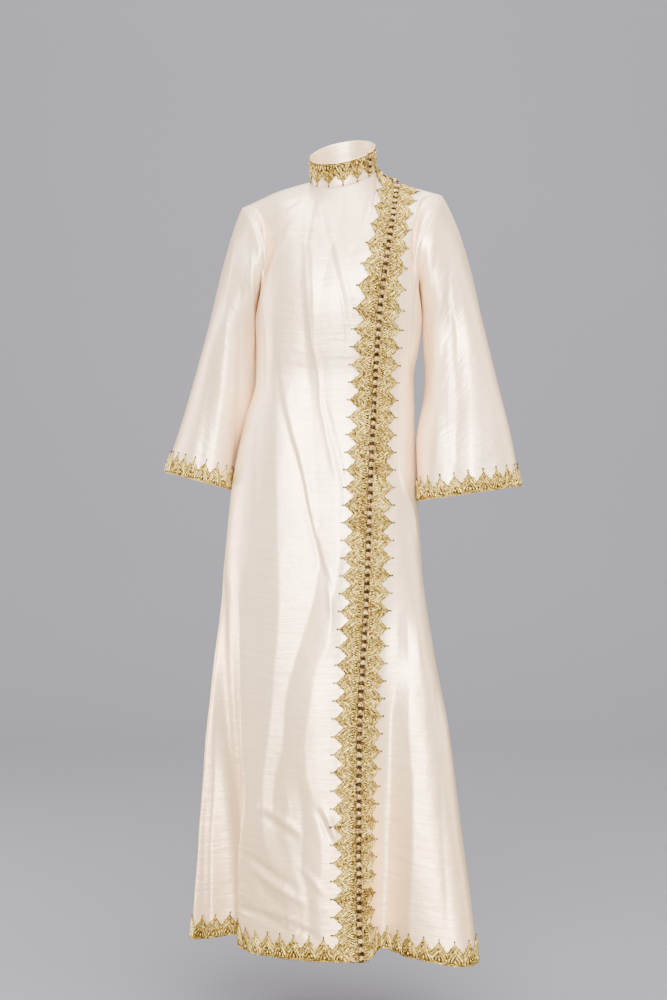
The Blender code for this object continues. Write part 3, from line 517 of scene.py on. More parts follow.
def clear_of_body(grid, cloud, least, cuff):
    """Moves a sleeve's points outwards where they would come nearer the body than that."""
    spots, facing, edge = cloud
    pushed = np.zeros_like(grid)
    last = len(grid) - 1
    for r in range(1, last + 1):
        clear = cuff if r > last - CUFF_ROWS else least
        for c in range(grid.shape[1]):
            if grid[r, c, 2] > UNDERARM_HEIGHT:
                continue
            away = grid[r, c] - spots
            near = int(np.argmin((away**2).sum(axis=1)))
            if edge[near]:
                continue
            deep = float(away[near] @ facing[near])
            if deep < clear and np.linalg.norm(away[near]) < NEAR_BODY:
                pushed[r, c, :2] = facing[near][:2] * (clear - deep)
    for _ in range(PUSH_SPREADS):
        beside = (np.roll(pushed, 1, axis=1) + np.roll(pushed, -1, axis=1)) / 2
        more = np.linalg.norm(beside, axis=2) > np.linalg.norm(pushed, axis=2)
        pushed = np.where(more[:, :, None], beside, pushed)
    pushed[1:-1] = np.maximum(np.abs(pushed[1:-1]), np.abs(pushed[:-2] + pushed[2:]) / 2) * np.sign(
        pushed[:-2] + pushed[1:-1] + pushed[2:]
    )
    return grid + pushed


def collar_points(columns, rows):
    """Outer points of the collar: rows up from the neck seam, columns from its end at the left round."""
    share = np.asarray(columns, float) / COLLAR_COLUMNS
    foot = neck_point(89 - 358 * share)
    lean = np.array([-0.03, -0.16, 1.0])
    lean /= np.linalg.norm(lean)
    tall = np.asarray(rows, float)[:, None, None] / 2 * COLLAR_TALL
    return foot + np.array([0, 0, 0.6 * MM]) + lean * tall


# Fineness of the cloth: steps to a column and to a row of the tables
STEPS_ACROSS = {"front_right": 7, "front_left": 7, "back": 5}
STEPS_UP = {"skirt": 10, "yoke": 9}
SLEEVE_ACROSS = 6
SLEEVE_UP = 92
SILK_THICK = 0.9 * MM
SEAM_SINK = 0.35 * MM
SEAM_WIDE = 2.4 * MM
PANEL_GAP = 0.03 * MM
CREASES_START = 0.06
ARMHOLE_SINK_SHARE = 0.008
CREASE_CORE = 0.62
CREASE_POWER = 1.4
TUCK_UNDER = 1.6 * MM
TUCK_DEEP = 1.4 * MM

# Creases: how wide they are to the left and to the right, in millimetres, then the points that they run
# through, each as (across, height, how far they stand out there)
FRONT_CREASES = {
    "shoulder drag high": (5, 6, (-156, -56, 0), (-128, -51, -2.2), (-102, -46, -2.4), (-74, -28, 0)),
    "shoulder drag low": (6, 8, (-163, -77, 0), (-137, -95, -1.6), (-105, -79, -2.2), (-72, -48, 0)),
    "armhole crease": (6, 9, (-105, -83, 0), (-125, -114, -4), (-137, -138, -4.5), (-144, -175, 0)),
    "armhole ridge": (8, 9, (-90, -83, 0), (-109, -118, 2.5), (-126, -156, 2.5), (-135, -194, 0)),
    "breast ridge": (7, 7, (-65, -41, 0), (-67, -111, 1.4), (-67, -149, 1.6), (-63, -215, 1.2),
        (-56, -285, 1.2), (-44, -338, 1.4), (-41, -390, 1.8), (-30, -443, 2), (-18, -499, 1.8),
        (-4, -558, 0)),
    "breast hollow": (9, 7, (-44, -355, 0), (-30, -404, -1.2), (-14, -460, -1.8), (-2, -513, -2),
        (3, -565, -1.6), (-6, -617, 0)),
    "braid side crease": (5, 6, (-39, -34, 0), (-30, -93, -1.4), (-16, -154, -1.6), (-2, -215, -1.6),
        (7, -271, -1.4), (8, -331, 0)),
    "braid side ridge": (7, 8, (-27, -41, 0), (-18, -97, 1.4), (-4, -156, 1.8), (10, -215, 1.6),
        (17, -268, 0)),
    "long ridge": (6, 24, (-116, -149, 0), (-112, -277, 1), (-107, -355, 1.6), (-93, -425, 2.4),
        (-76, -495, 2.6), (-55, -591, 2.6), (-39, -652, 2), (-25, -705, 0)),
    "long hollow": (10, 5, (-118, -306, 0), (-109, -381, -1), (-95, -443, -2), (-76, -516, -2.2),
        (-58, -600, -2.2), (-42, -663, -1.6), (-32, -705, 0)),
    "belly hollow": (15, 15, (-76, -163, 0), (-70, -250, -1.6), (-65, -338, -2), (-65, -390, 0)),
    "side of the waist": (12, 10, (-142, -215, 0), (-142, -285, -2.5), (-140, -355, -2), (-142, -425, 0)),
    "hip drag": (3, 5, (-37, -663, 0), (-25, -694, 2.4), (-18, -719, 0)),
    "thigh line": (5, 6, (-30, -701, 0), (-23, -743, 3), (-18, -796, 0)),
    "low drag 1": (7, 8, (-149, -1097, 0), (-135, -1102, 3.5), (-114, -1113, 4.5), (-89, -1128, 4),
        (-68, -1146, 0)),
    "low drag 2": (7, 7, (-142, -1109, 0), (-121, -1125, -3.4), (-96, -1141, -3.6), (-75, -1156, 0)),
    "low drag 3": (8, 7, (-171, -1183, 0), (-149, -1197, -6.3), (-124, -1212, -7), (-100, -1225, -5.6),
        (-75, -1240, 0)),
    "low drag 4": (8, 8, (-160, -1202, 0), (-135, -1220, 5.6), (-107, -1237, 5.9), (-79, -1253, 4.2),
        (-58, -1265, 0)),
    "low drag 5": (6, 7, (-186, -1282, 0), (-160, -1284, -4.8), (-135, -1291, -7), (-110, -1302, -6.4),
        (-82, -1318, 0)),
    "low drag 6": (7, 7, (-142, -1274, 0), (-114, -1281, 5.1), (-86, -1293, 6.1), (-54, -1309, 0)),
    "low drag 7": (6, 6, (-124, -1281, 0), (-100, -1291, -5.4), (-72, -1305, -6.7), (-47, -1319, -3.8),
        (-33, -1330, 0)),
    "low drag 8": (7, 7, (-54, -1090, 0), (-40, -1111, -4.3), (-28, -1136, -4.8), (-16, -1164, 0)),
    "low drag 9": (6, 7, (-40, -1090, 0), (-26, -1114, 4.8), (-14, -1142, 4.8), (-2, -1174, 0)),
    "low drag 10": (7, 6, (-82, -1192, 0), (-65, -1209, 3), (-44, -1230, 3.4), (-23, -1254, 0)),
    "low drag 11": (8, 8, (-153, -1216, 0), (-135, -1244, -3), (-110, -1265, -2.6), (-89, -1279, 0)),
    "hand fold": (4, 8, (99, -499, 0), (108, -541, 2.6), (122, -586, 3.2), (138, -670, 0)),
    "side streak": (6, 6, (96, -390, 0), (96, -443, -2.6), (99, -513, -3), (106, -565, 0)),
    "left bust fold": (6, 7, (106, -149, 0), (104, -215, 2), (99, -285, 2.4), (96, -390, 0)),
    "underarm crease left": (4, 5, (134, -163, 0), (129, -215, -4), (122, -277, -3), (117, -320, 0)),
    "armhole pull 1": (3, 4, (-158, -91, 0), (-140, -88, -1.8), (-122, -84, 0)),
    "armhole pull 2": (3, 4, (-155, -103, 0), (-140, -100, -2), (-122, -95, 0)),
    "armhole pull 3": (3, 4, (-160, -113, 0), (-143, -110, -1.8), (-126, -106, 0)),
    "pressed line high": (3, 3, (-122, -91, 0), (-95, -90, -0.9), (-60, -92, -0.9), (-32, -92, 0)),
    "pressed line low": (3, 3, (-120, -115, 0), (-105, -114, -0.9), (-86, -113, 0)),
    "breast band": (16, 13, (-52, -50, 0), (-54, -120, 2.4), (-52, -220, 3), (-50, -330, 0)),
}

# Facets of the pressed silk: the lines between them from left to right, each as its heights, how far across
# it is at each of them and how far out
FLUTE_HEIGHTS = (-915, -985, -1090, -1195, -1309)
BAND_HEIGHTS = (-198, -285, -425, -565, -670, -749, -810, -871, -924, -985, -1046, -1090, -1134, -1195,
    -1248, -1291)
LEFT_HEIGHTS = (-758, -810, -880, -950, -1020, -1090, -1160, -1230, -1309)
LEFT_ARM_HEIGHTS = (-28, -135, -279, -386, -458, -520)
RIGHT_ARM_HEIGHTS = (-171, -261, -332, -422, -520)
FRONT_FACETS = {
    "side": ((-898, -1309), (-283, -283), (0, 0)),
    "flute rim": (FLUTE_HEIGHTS, (-245, -245, -249, -252, -254), (0, 0, -2, -3, -3)),
    "flute light": (FLUTE_HEIGHTS, (-234, -234, -232, -236, -236), (0, 0, 3, 7, 7)),
    "flute bottom": (
        (-696, -775, -880, -985, -1090, -1195, -1309),
        (-209, -201, -199, -203, -206, -207, -206),
        (0, -7, -14, -20, -24, -24, -24),
    ),
    "under the fold": (
        (-688, -740, -810, -915, -1002, -1081, -1142, -1195, -1309),
        (-193, -189, -187, -186, -184, -176, -182, -187, -187),
        (0, -4, -6, -7, -7, -7, -7, -7, -7),
    ),
    "fold edge": (
        (-670, -740, -810, -915, -1002, -1081, -1142, -1195, -1309),
        (-188, -186, -183, -181, -179, -172, -177, -183, -183),
        (0, 2, 3, 3, 3, 3, 3, 3, 3),
    ),
    "flank": (
        (-425, -670, -810, -985, -1195, -1309),
        (-153, -153, -153, -153, -153, -149),
        (0, 1, 3, 5, 6, 6),
    ),
    "flank corner": (
        (-198, -268, -425, -565, -670, -740, -810, -854, -915, -985, -1055, -1108, -1160, -1204, -1239,
         -1291),
        (-124, -121, -117, -115, -112, -110, -112, -117, -121, -128, -137, -138, -131, -114, -96, -91),
        (0, 4, 6, 6, 7, 8, 8, 8, 8, 10, 10, 10, 11, 11, 9, 6),
    ),
    "bright band end": (
        BAND_HEIGHTS,
        (-65, -61, -56, -49, -44, -56, -75, -91, -101, -103, -117, -119, -114, -93, -79, -75),
        (0, -3, -4, -5, -5.5, -4, -3, 0, 1, 1, 1.5, 4, 5, 6, 4, 3),
    ),
    "second band start": (
        BAND_HEIGHTS,
        (-54, -51, -47, -40, -35, -47, -65, -82, -89, -93, -98, -94, -98, -87, -73, -70),
        (0, -2.5, -3.5, -4, -3.5, -2, -1.5, 1, 2.5, 2.5, 4, 7.5, 6.5, 5.5, 3.5, 2.5),
    ),
    "second band end": (
        BAND_HEIGHTS,
        (-40, -37, -33, -28, -25, -39, -49, -70, -75, -80, -79, -72, -70, -72, -61, -59),
        (0, -2, -2.5, -3, -1, 0, 1, 2.5, 4, 4, 5, 2, 0, 0, 0, 0),
    ),
    "braid side": (
        BAND_HEIGHTS,
        (-23, -21, -18, -13, -9, -21, -26, -49, -56, -65, -61, -49, -40, -35, -44, -40),
        (0, -1, -1, -1, 2, 4.5, 5, 5, 7, 6.5, 7.5, 5, 4.5, 4, 2.5, 1.5),
    ),
    "braid": (
        (-198, -425, -600, -740, -915, -1090, -1309),
        (22, 12, 6, -1, -7, -9, -11),
        (0, 0, 0, 0, 0, 0, 0),
    ),
}
LEFT_FACETS = {
    "braid": ((-740, -810, -915, -1020, -1125, -1309), (81, 74, 71, 68, 64, 60), (0, 0, 0, 0, 0, 0)),
    "braid side": (LEFT_HEIGHTS, (95, 95, 92, 83, 81, 81, 78, 76, 74), (0, 1.5, -1, -4, -4, -4, -4, -4, -3)),
    "light band start": (
        LEFT_HEIGHTS,
        (112, 114, 116, 114, 119, 123, 123, 121, 119),
        (0, -2, 3, 6, 6, 7, 9, 11, 11),
    ),
    "light band end": (
        LEFT_HEIGHTS,
        (128, 130, 136, 144, 144, 144, 142, 144, 144),
        (0, 3, 4, 4, 3, 2, 3, 4, 4),
    ),
    "far flank": (
        LEFT_HEIGHTS,
        (144, 149, 160, 169, 173, 171, 174, 178, 180),
        (0, 0, 0, -2, -3, -4, -5, -6, -6),
    ),
    "far side": (LEFT_HEIGHTS, (147, 155, 168, 178, 188, 195, 202, 211, 220), (0, 0, 0, 0, 0, 0, 0, 0, 0)),
}
SLEEVE_LEFT_FACETS = {
    "inner side": ((-28, -135, -529), (144, 144, 144), (0, 1, 1)),
    "inner": (LEFT_ARM_HEIGHTS, (160, 164, 164, 168, 166, 157), (0, 1.5, 2.5, 3, 3, 3)),
    "middle": (LEFT_ARM_HEIGHTS, (185, 188, 192, 199, 195, 194), (0, -4, -5, -5, -4, -4)),
    "outer": (LEFT_ARM_HEIGHTS, (206, 209, 220, 226, 226, 225), (0, 0, 1, 2.5, 4, 4)),
    "outer side": ((-28, -225, -296, -458, -529), (220, 234, 244, 251, 254), (0, 0, 0, 0, 0)),
}
SLEEVE_RIGHT_FACETS = {
    "outer side": ((-171, -279, -422, -520), (-228, -250, -294, -323), (0, 0, 0, 0)),
    "light line left": (RIGHT_ARM_HEIGHTS, (-201, -209, -221, -238, -252), (0, 3, 5, 6, 6)),
    "light line right": (RIGHT_ARM_HEIGHTS, (-189, -197, -207, -223, -234), (0, 3, 5, 6, 6)),
    "inner": (RIGHT_ARM_HEIGHTS, (-171, -174, -178, -182, -189), (0, 0, -1, -2, -2)),
    "inner side": (RIGHT_ARM_HEIGHTS, (-153, -153, -156, -163, -167), (0, 0, 0, 0, 0)),
}

SLEEVE_RIGHT_CREASES = {
    "long ridge": (13, 10, (-191, -72, 0), (-194, -115, 3), (-203, -205, 2.6), (-210, -295, 1.6),
        (-221, -403, 1), (-232, -493, 1), (-237, -551, 1)),
    "inner ridge": (7, 8, (-171, -65, 0), (-165, -137, 2.4), (-162, -205, 2.6), (-162, -277, 3),
        (-165, -342, 0)),
    "hollow between": (12, 14, (-182, -90, 0), (-182, -187, -2), (-185, -277, -2.6), (-187, -385, -3),
        (-192, -475, -3), (-200, -561, -3)),
    "armhole crease": (4, 5, (-156, -115, 0), (-155, -178, -4), (-156, -250, 0)),
    "outer hollow": (16, 14, (-218, -259, 0), (-236, -367, -2), (-248, -457, -2), (-259, -529, -2)),
    "outer ridge": (10, 12, (-246, -367, 0), (-259, -439, 1.6), (-270, -507, 2)),
    "cap drag": (5, 6, (-174, -36, 0), (-164, -65, -2), (-160, -97, 0)),
}
SLEEVE_LEFT_CREASES = {
    "cap ridge": (7, 8, (167, -22, 0), (167, -57, 2.4), (160, -89, 2.6), (151, -121, 2.4), (146, -165, 0)),
    "cap hollow": (6, 8, (179, -43, 0), (174, -78, -1.6), (165, -121, -2), (160, -192, -1.6),
        (154, -242, 0)),
    "inner edge ridge": (6, 6, (142, -121, 0), (144, -192, 2), (144, -263, 2), (149, -334, 0)),
    "middle swell": (10, 12, (186, -121, 0), (183, -174, 2), (172, -228, 2.6), (161, -263, 2.4),
        (154, -291, 0)),
    "long streak": (6, 8, (193, -157, 0), (195, -192, 1.4), (201, -245, 2), (202, -290, 1.6),
        (199, -334, 0)),
    "elbow hollow": (9, 9, (193, -242, 0), (186, -263, -1.6), (177, -290, -2), (169, -343, -1.6),
        (165, -373, 0)),
    "flare crease": (5, 6, (190, -330, 0), (186, -378, 1.4), (187, -430, 1.8), (190, -500, 1.2)),
}
BACK_CREASES = {
    "shoulder blade right": (16, 22, (-88, -40, 0), (-84, -120, 3), (-78, -260, 4), (-72, -420, 3),
        (-70, -560, 0)),
    "shoulder blade left": (22, 16, (86, -30, 0), (82, -120, 3), (74, -250, 4), (66, -400, 3),
        (60, -540, 0)),
    "middle hollow": (24, 24, (-4, 30, 0), (-4, -120, -3), (-6, -330, -5), (-10, -520, -3), (-14, -640, 0)),
    "armhole drag right": (6, 8, (-148, -120, 0), (-132, -160, -3), (-112, -190, -3), (-88, -205, 0)),
    "armhole drag left": (8, 6, (140, -110, 0), (124, -150, -3), (104, -182, -3), (80, -200, 0)),
    "waist drag right": (9, 12, (-130, -312, 0), (-110, -336, -2.2), (-86, -352, -1.4), (-62, -358, 0)),
    "waist drag left": (12, 9, (124, -318, 0), (104, -338, -1.8), (82, -348, 0)),
    "long fold right": (12, 16, (-110, -420, 0), (-124, -600, 4), (-140, -820, 6), (-152, -1100, 6),
        (-160, -1345, 5)),
    "long fold middle": (14, 14, (-30, -520, 0), (-34, -700, 4), (-40, -950, 6), (-44, -1345, 6)),
    "long fold left": (15, 12, (62, -440, 0), (78, -640, 4), (96, -880, 6), (112, -1345, 6)),
    "hem drag": (5, 4, (-120, -1290, 0), (-80, -1302, -2.6), (-30, -1306, -2.6), (10, -1300, 0)),
}


Cloth = namedtuple("Cloth", "points normals rows columns closed")


def lay_on(cloth, row, column, lift):
    """Points at a height over a cloth, at places given by its rows and columns."""
    row, column = np.asarray(row, float), np.asarray(column, float)
    if cloth.closed:
        column = np.mod(column, cloth.columns[-1])
    r = np.interp(row, cloth.rows, np.arange(len(cloth.rows)))
    c = np.interp(column, cloth.columns, np.arange(len(cloth.columns)))
    i = np.clip(r.astype(int), 0, len(cloth.rows) - 2)
    j = np.clip(c.astype(int), 0, len(cloth.columns) - 2)
    v, u = (r - i)[..., None], (c - j)[..., None]
    found = []
    for grid in (cloth.points, cloth.normals):
        low = grid[i, j] * (1 - u) + grid[i, j + 1] * u
        high = grid[i + 1, j] * (1 - u) + grid[i + 1, j + 1] * u
        found.append(low * (1 - v) + high * v)
    return found[0] + unit(found[1]) * np.asarray(lift, float)[..., None]


def fine_normals(grid, side=1, closed=False):
    """Outward directions of a fine grid; a closed one repeats its first column at its end."""
    if closed:
        wide = np.concatenate([grid[:, -2:-1], grid, grid[:, 1:2]], axis=1)
        along = (wide[:, 2:] - wide[:, :-2]) / 2
    else:
        along = np.gradient(grid, axis=1)
    return unit(np.cross(along, np.gradient(grid, axis=0))) * side


def crease_height(creases, x, z):
    """How far the creases stand out at places seen from the front, in metres."""
    x, z = x / MM, z / MM
    x = x + 0.7 * np.sin(z / 27 + x / 60) + 0.3 * np.sin(z / 9 + 1.9)
    total = np.zeros(x.shape)
    for left, right, *path in creases.values():
        nearest, side, tall = np.full(x.shape, 1e9), np.zeros(x.shape), np.zeros(x.shape)
        for (x1, z1, d1), (x2, z2, d2) in zip(path, path[1:]):
            long = math.hypot(x2 - x1, z2 - z1)
            ax, az = (x2 - x1) / long, (z2 - z1) / long
            t = np.clip((x - x1) * ax + (z - z1) * az, 0, long)
            dx, dz = x - x1 - ax * t, z - z1 - az * t
            off = np.hypot(dx, dz)
            closer = off < nearest
            nearest = np.where(closer, off, nearest)
            side = np.where(closer, dx * -az + dz * ax, side)
            tall = np.where(closer, d1 + (d2 - d1) * (t / long), tall)
        wide = np.where(side > 0, right, left)
        total += tall * np.exp(-((nearest / (CREASE_CORE * wide)) ** CREASE_POWER))
    return total * MM


def facet_height(facets, x, z):
    """How far the facets stand out: straight from one line to the next at each height, in metres."""
    x, z = x / MM, z / MM
    total = np.zeros(x.shape)
    before = None
    for heights, across, out in facets.values():
        across, out = smooth_values(heights, across, z), smooth_values(heights, out, z)
        if before is not None:
            total += (out - before[1]) * np.clip((x - before[0]) / np.maximum(across - before[0], 1), 0, 1)
        before = across, out
    return total * MM


def slow_waves(x, z):
    """Slight unevenness of hanging silk, the same everywhere it's asked for."""
    x, z = x / MM, z / MM
    wave = 0.40 * np.sin(x / 23 + 1.3 * np.sin(z / 61)) * np.sin(z / 47 + 0.8)
    wave += 0.28 * np.sin(x / 13 - z / 90 + 2.0) * np.sin(z / 31 + x / 50)
    wave += 0.14 * np.sin(x / 7 + 0.9 * np.sin(z / 17)) * np.sin(z / 12 + 1.7)
    return wave * MM


def add_creases(points, normals, creases, ahead):
    """Raises the creases that belong to the front (ahead 1) or the back (ahead -1)."""
    weight = np.clip(0.62 - ahead * normals[..., 1] * 1.25, 0, 1)
    lift = crease_height(creases, points[..., 0], points[..., 2]) * weight
    lift += slow_waves(points[..., 0] + points[..., 1] * 0.7, points[..., 2]) * weight
    return lift


def rounded(lift):
    """Takes the knife edge off the facets' lines."""
    wide = np.concatenate([lift[:, :1], lift, lift[:, -1:]], axis=1)
    return (wide[:, :-2] + 2 * wide[:, 1:-1] + wide[:, 2:]) / 4


def add_facets(points, normals, facets):
    """Raises the facets where the cloth faces the front."""
    ahead = np.clip(0.9 - normals[..., 1] * 1.5, 0, 1)
    return rounded(facet_height(facets, points[..., 0], points[..., 2])) * ahead


# Body panels
fine_rows = np.concatenate(
    [
        np.linspace(0, SKIRT_ROWS, SKIRT_ROWS * STEPS_UP["skirt"] + 1),
        np.linspace(SKIRT_ROWS, TOP_ROW, YOKE_ROWS * STEPS_UP["yoke"] + 1)[1:],
    ]
)
panels = {"front_right": RIGHT_FRONT, "front_left": LEFT_FRONT, "back": BACK}
fine_columns = {
    name: np.linspace(0, panel.columns, panel.columns * STEPS_ACROSS[name] + 1)
    for name, panel in panels.items()
}
grids = {name: panel_points(panel, fine_columns[name], fine_rows) for name, panel in panels.items()}
normals = {name: fine_normals(grid) for name, grid in grids.items()}

# The seams between the panels: (a panel, its edge, the other panel, that one's edge)
SEAMS = (
    ("front_right", -1, "front_left", 0),
    ("front_right", 0, "back", -1),
    ("front_left", -1, "back", 0),
)


def share_seams():
    for first, edge, second, other in SEAMS:
        share_normals(normals[first][:, edge], normals[second][:, other])


share_seams()
lifts = {}
for name, grid in grids.items():
    lift = add_creases(grid, normals[name], FRONT_CREASES, 1)
    for facets in (FRONT_FACETS, LEFT_FACETS):
        lift += add_facets(grid, normals[name], facets)
    if name == "back":
        lift += add_creases(grid, normals[name], BACK_CREASES, -1)
    for edge in (0, -1):
        off = np.linalg.norm(grid - grid[:, [edge]], axis=2)
        if (name, edge) not in (("front_right", -1), ("front_left", 0)):
            lift -= SEAM_SINK * np.exp(-((off / SEAM_WIDE) ** 2))
    lifts[name] = lift
for first, edge, second, other in SEAMS:
    mean = (lifts[first][:, edge] + lifts[second][:, other]) / 2
    lifts[first][:, edge], lifts[second][:, other] = mean, mean
for name in grids:
    grids[name] = grids[name] + normals[name] * lifts[name][..., None]
    normals[name] = fine_normals(grids[name])
share_seams()
closing_line = grids["front_right"][:, -1].copy()
closing_normal = unit(normals["front_right"][:, -1])
cloths = {
    name: Cloth(pull_in(grids[name], PANEL_GAP), unit(normals[name]), fine_rows, fine_columns[name], False)
    for name in grids
}


# Sleeves
def armhole_edge(name, first, last):
    columns = fine_columns[name]
    here = np.flatnonzero((columns >= min(first, last) - 1e-9) & (columns <= max(first, last) + 1e-9))
    here = here if first < last else here[::-1]
    cloth = cloths[name]
    return np.concatenate([cloth.points[-1], cloth.normals[-1]], axis=1)[here]


def rough_cloud(step=3):
    """A thinner set of the body's points, for keeping the sleeves clear of it."""
    spots = [cloths[name].points[::step, ::step].reshape(-1, 3) for name in cloths]
    facing = [cloths[name].normals[::step, ::step].reshape(-1, 3) for name in cloths]
    top = fine_rows[::step] > TOP_ROW - 1.01
    edge = [np.repeat(top, len(fine_columns[name][::step])) for name in cloths]
    return np.concatenate(spots), np.concatenate(facing), np.concatenate(edge)


def spread(coarse, rows, columns):
    """A closed coarse grid's values at fine rows and columns, smoothed."""
    around = np.concatenate([coarse, coarse[:, :1]], axis=1)
    at = columns * (SLEEVE_COLUMNS / columns[-1])
    wide = np.stack([read_along(at, np.arange(SLEEVE_COLUMNS + 1), line) for line in around])
    tall = np.stack([read_along(rows, SLEEVE_ROWS, wide[:, c]) for c in range(wide.shape[1])], axis=1)
    for _ in range(PUSH_SMOOTHINGS):
        ring = tall[:, :-1]
        ring = (np.roll(ring, 1, axis=1) + 2 * ring + np.roll(ring, -1, axis=1)) / 4
        tall = np.concatenate([ring, ring[:, :1]], axis=1)
        tall[1:-1] = (tall[:-2] + 2 * tall[1:-1] + tall[2:]) / 4
    return tall


cloud = rough_cloud()
sleeve_shares = np.linspace(0, 1, SLEEVE_UP + 1) ** 0.9
sleeve_columns = np.linspace(0, SLEEVE_COLUMNS, SLEEVE_COLUMNS * SLEEVE_ACROSS + 1)
# Each sleeve's stretches of the panels' top edges are given by their first and last column
for name, side, rings, front, back, creases, facets in (
    (
        "sleeve_right", -1, RIGHT_SLEEVE, ("front_right", 5, 0), ("back", 28, 22),
        SLEEVE_RIGHT_CREASES, SLEEVE_RIGHT_FACETS,
    ),
    (
        "sleeve_left", 1, LEFT_SLEEVE, ("front_left", 6, 17), ("back", 0, 6),
        SLEEVE_LEFT_CREASES, SLEEVE_LEFT_FACETS,
    ),
):
    edges = armhole_edge(*front), armhole_edge(*back)
    steps = np.arange(SLEEVE_COLUMNS)
    rough = sleeve_points(rings, armhole_loop(*edges, steps, side), steps, SLEEVE_ROWS)
    moved = clear_of_body(rough, cloud, *BODY_CLEAR) - rough
    ring = sleeve_columns[:-1]
    seam, facing, off = armhole_loop(*edges, ring, side)
    grid = sleeve_points(rings, (seam, facing, off), ring, sleeve_shares)
    grid = np.concatenate([grid, grid[:, :1]], axis=1) + spread(moved, sleeve_shares, sleeve_columns)
    normal = fine_normals(grid, side, closed=True)
    lift = add_creases(grid, normal, creases, 1)
    lift += add_facets(grid, normal, facets)
    fade = np.clip(sleeve_shares / CREASES_START, 0, 1)[:, None]
    lift = lift * fade - SEAM_SINK * np.exp(-((sleeve_shares[:, None] / ARMHOLE_SINK_SHARE) ** 2))
    grid = grid + normal * lift[..., None]
    tucked = seam - off * TUCK_UNDER - facing * TUCK_DEEP
    grid = np.concatenate([[np.concatenate([tucked, tucked[:1]])], grid])
    rows = np.concatenate([[-0.004], sleeve_shares])
    cloths[name] = Cloth(grid, fine_normals(grid, side, closed=True), rows, sleeve_columns, True)

# Collar
collar_columns = np.linspace(0, COLLAR_COLUMNS, 6 * COLLAR_COLUMNS + 1)
collar_rows = np.concatenate([[-0.1], np.linspace(0, 2, 15)])
grid = collar_points(collar_columns, collar_rows)
grid[0] -= fine_normals(grid, -1)[0] * TUCK_DEEP
cloths["collar"] = Cloth(grid, fine_normals(grid, -1), collar_rows, collar_columns, False)


# Making meshes
def mesh_of(name, body):
    mesh = bpy.data.meshes.new(name)
    body.to_mesh(mesh)
    body.free()
    return mesh


def mesh_points(mesh):
    """A mesh's points as rows of an array."""
    flat = np.zeros(len(mesh.vertices) * 3)
    mesh.vertices.foreach_get("co", flat)
    return flat.reshape(-1, 3)


def place_points(mesh, points):
    mesh.vertices.foreach_set("co", points.astype(np.float32).ravel())


def placed_grid(body, points, tone):
    """A sheet of faces through a grid of points, rows first, with one tone all over."""
    rows, columns = points.shape[:2]
    bmesh.ops.create_grid(body, x_segments=columns - 1, y_segments=rows - 1, size=0.5)
    layer = body.verts.layers.float["tone"]
    for vert in body.verts:
        if not vert.tag:
            r = round((vert.co.y + 0.5) * (rows - 1))
            c = round((vert.co.x + 0.5) * (columns - 1))
            vert.co = points[r, c]
            vert.tag = True
            vert[layer] = tone


def cloth_mesh(name, points, closed=False):
    """A fine cloth grid as a mesh, with a UV map in metres along the weft and the warp."""
    rows, columns = points.shape[:2]
    body = bmesh.new()
    bmesh.ops.create_grid(body, x_segments=columns - 1, y_segments=rows - 1, size=0.5)
    mesh = mesh_of(name, body)
    flat = mesh_points(mesh)
    r = np.rint((flat[:, 1] + 0.5) * (rows - 1)).astype(int)
    c = np.rint((flat[:, 0] + 0.5) * (columns - 1)).astype(int)
    place_points(mesh, points[r, c])
    steps = np.linalg.norm(np.diff(points, axis=1), axis=2)
    across = np.concatenate([np.zeros((rows, 1)), np.cumsum(steps, axis=1)], axis=1)
    across -= across[:, columns // 2][:, None]
    steps = np.linalg.norm(np.diff(points, axis=0), axis=2)
    tall = np.concatenate([np.zeros((1, columns)), np.cumsum(steps, axis=0)])
    tall = tall.mean(axis=1)[:, None] * 0.5 + tall * 0.5
    corner = np.zeros(len(mesh.loops), int)
    mesh.loops.foreach_get("vertex_index", corner)
    weave = mesh.uv_layers.new(name="weave")
    uv = np.stack([across[r, c][corner], tall[r, c][corner]], axis=1)
    weave.data.foreach_set("uv", uv.astype(np.float32).ravel())
    if closed:
        body = bmesh.new()
        body.from_mesh(mesh)
        bmesh.ops.remove_doubles(body, verts=body.verts, dist=1e-6)
        body.to_mesh(mesh)
        body.free()
    return mesh


def add_object(name, mesh, look):
    made = bpy.data.objects.new(name, mesh)
    bpy.context.scene.collection.objects.link(made)
    mesh.materials.append(look)
    mesh.polygons.foreach_set("use_smooth", np.ones(len(mesh.polygons), bool))
    return made


def hand_over(piece, node):
    """The piece rides on the gown and stands for its solid."""
    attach(piece, "root")
    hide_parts(node)
    return piece


def repeat(body, times, step):
    """Copies of a shape in a row, joined where they meet."""
    bmesh.ops.remove_doubles(body, verts=body.verts, dist=1e-4)
    first = body.verts[:] + body.edges[:] + body.faces[:]
    for i in range(1, times):
        copy = bmesh.ops.duplicate(body, geom=first)["geom"]
        verts = [part for part in copy if isinstance(part, bmesh.types.BMVert)]
        bmesh.ops.translate(body, verts=verts, vec=[i * part for part in step])
    bmesh.ops.remove_doubles(body, verts=body.verts, dist=1e-3)


def read_tone(mesh):
    tone = np.zeros(len(mesh.vertices))
    mesh.attributes["tone"].data.foreach_get("value", tone)
    return tone


def finish_trim(mesh, points, tone, green, look):
    """Puts a trim that was worked flat in its place, gives it its colours and closes its cords' ends."""
    place_points(mesh, points)
    mesh.attributes["tone"].data.foreach_set("value", tone.astype(np.float32))
    tint = mesh.attributes.new("green", "FLOAT", "POINT")
    tint.data.foreach_set("value", green.astype(np.float32))
    body = bmesh.new()
    body.from_mesh(mesh)
    bmesh.ops.remove_doubles(body, verts=body.verts, dist=1e-6)
    bmesh.ops.holes_fill(body, edges=[edge for edge in body.edges if edge.is_boundary], sides=0)
    bmesh.ops.recalc_face_normals(body, faces=body.faces)
    body.to_mesh(mesh)
    body.free()
    return add_object(mesh.name, mesh, look)


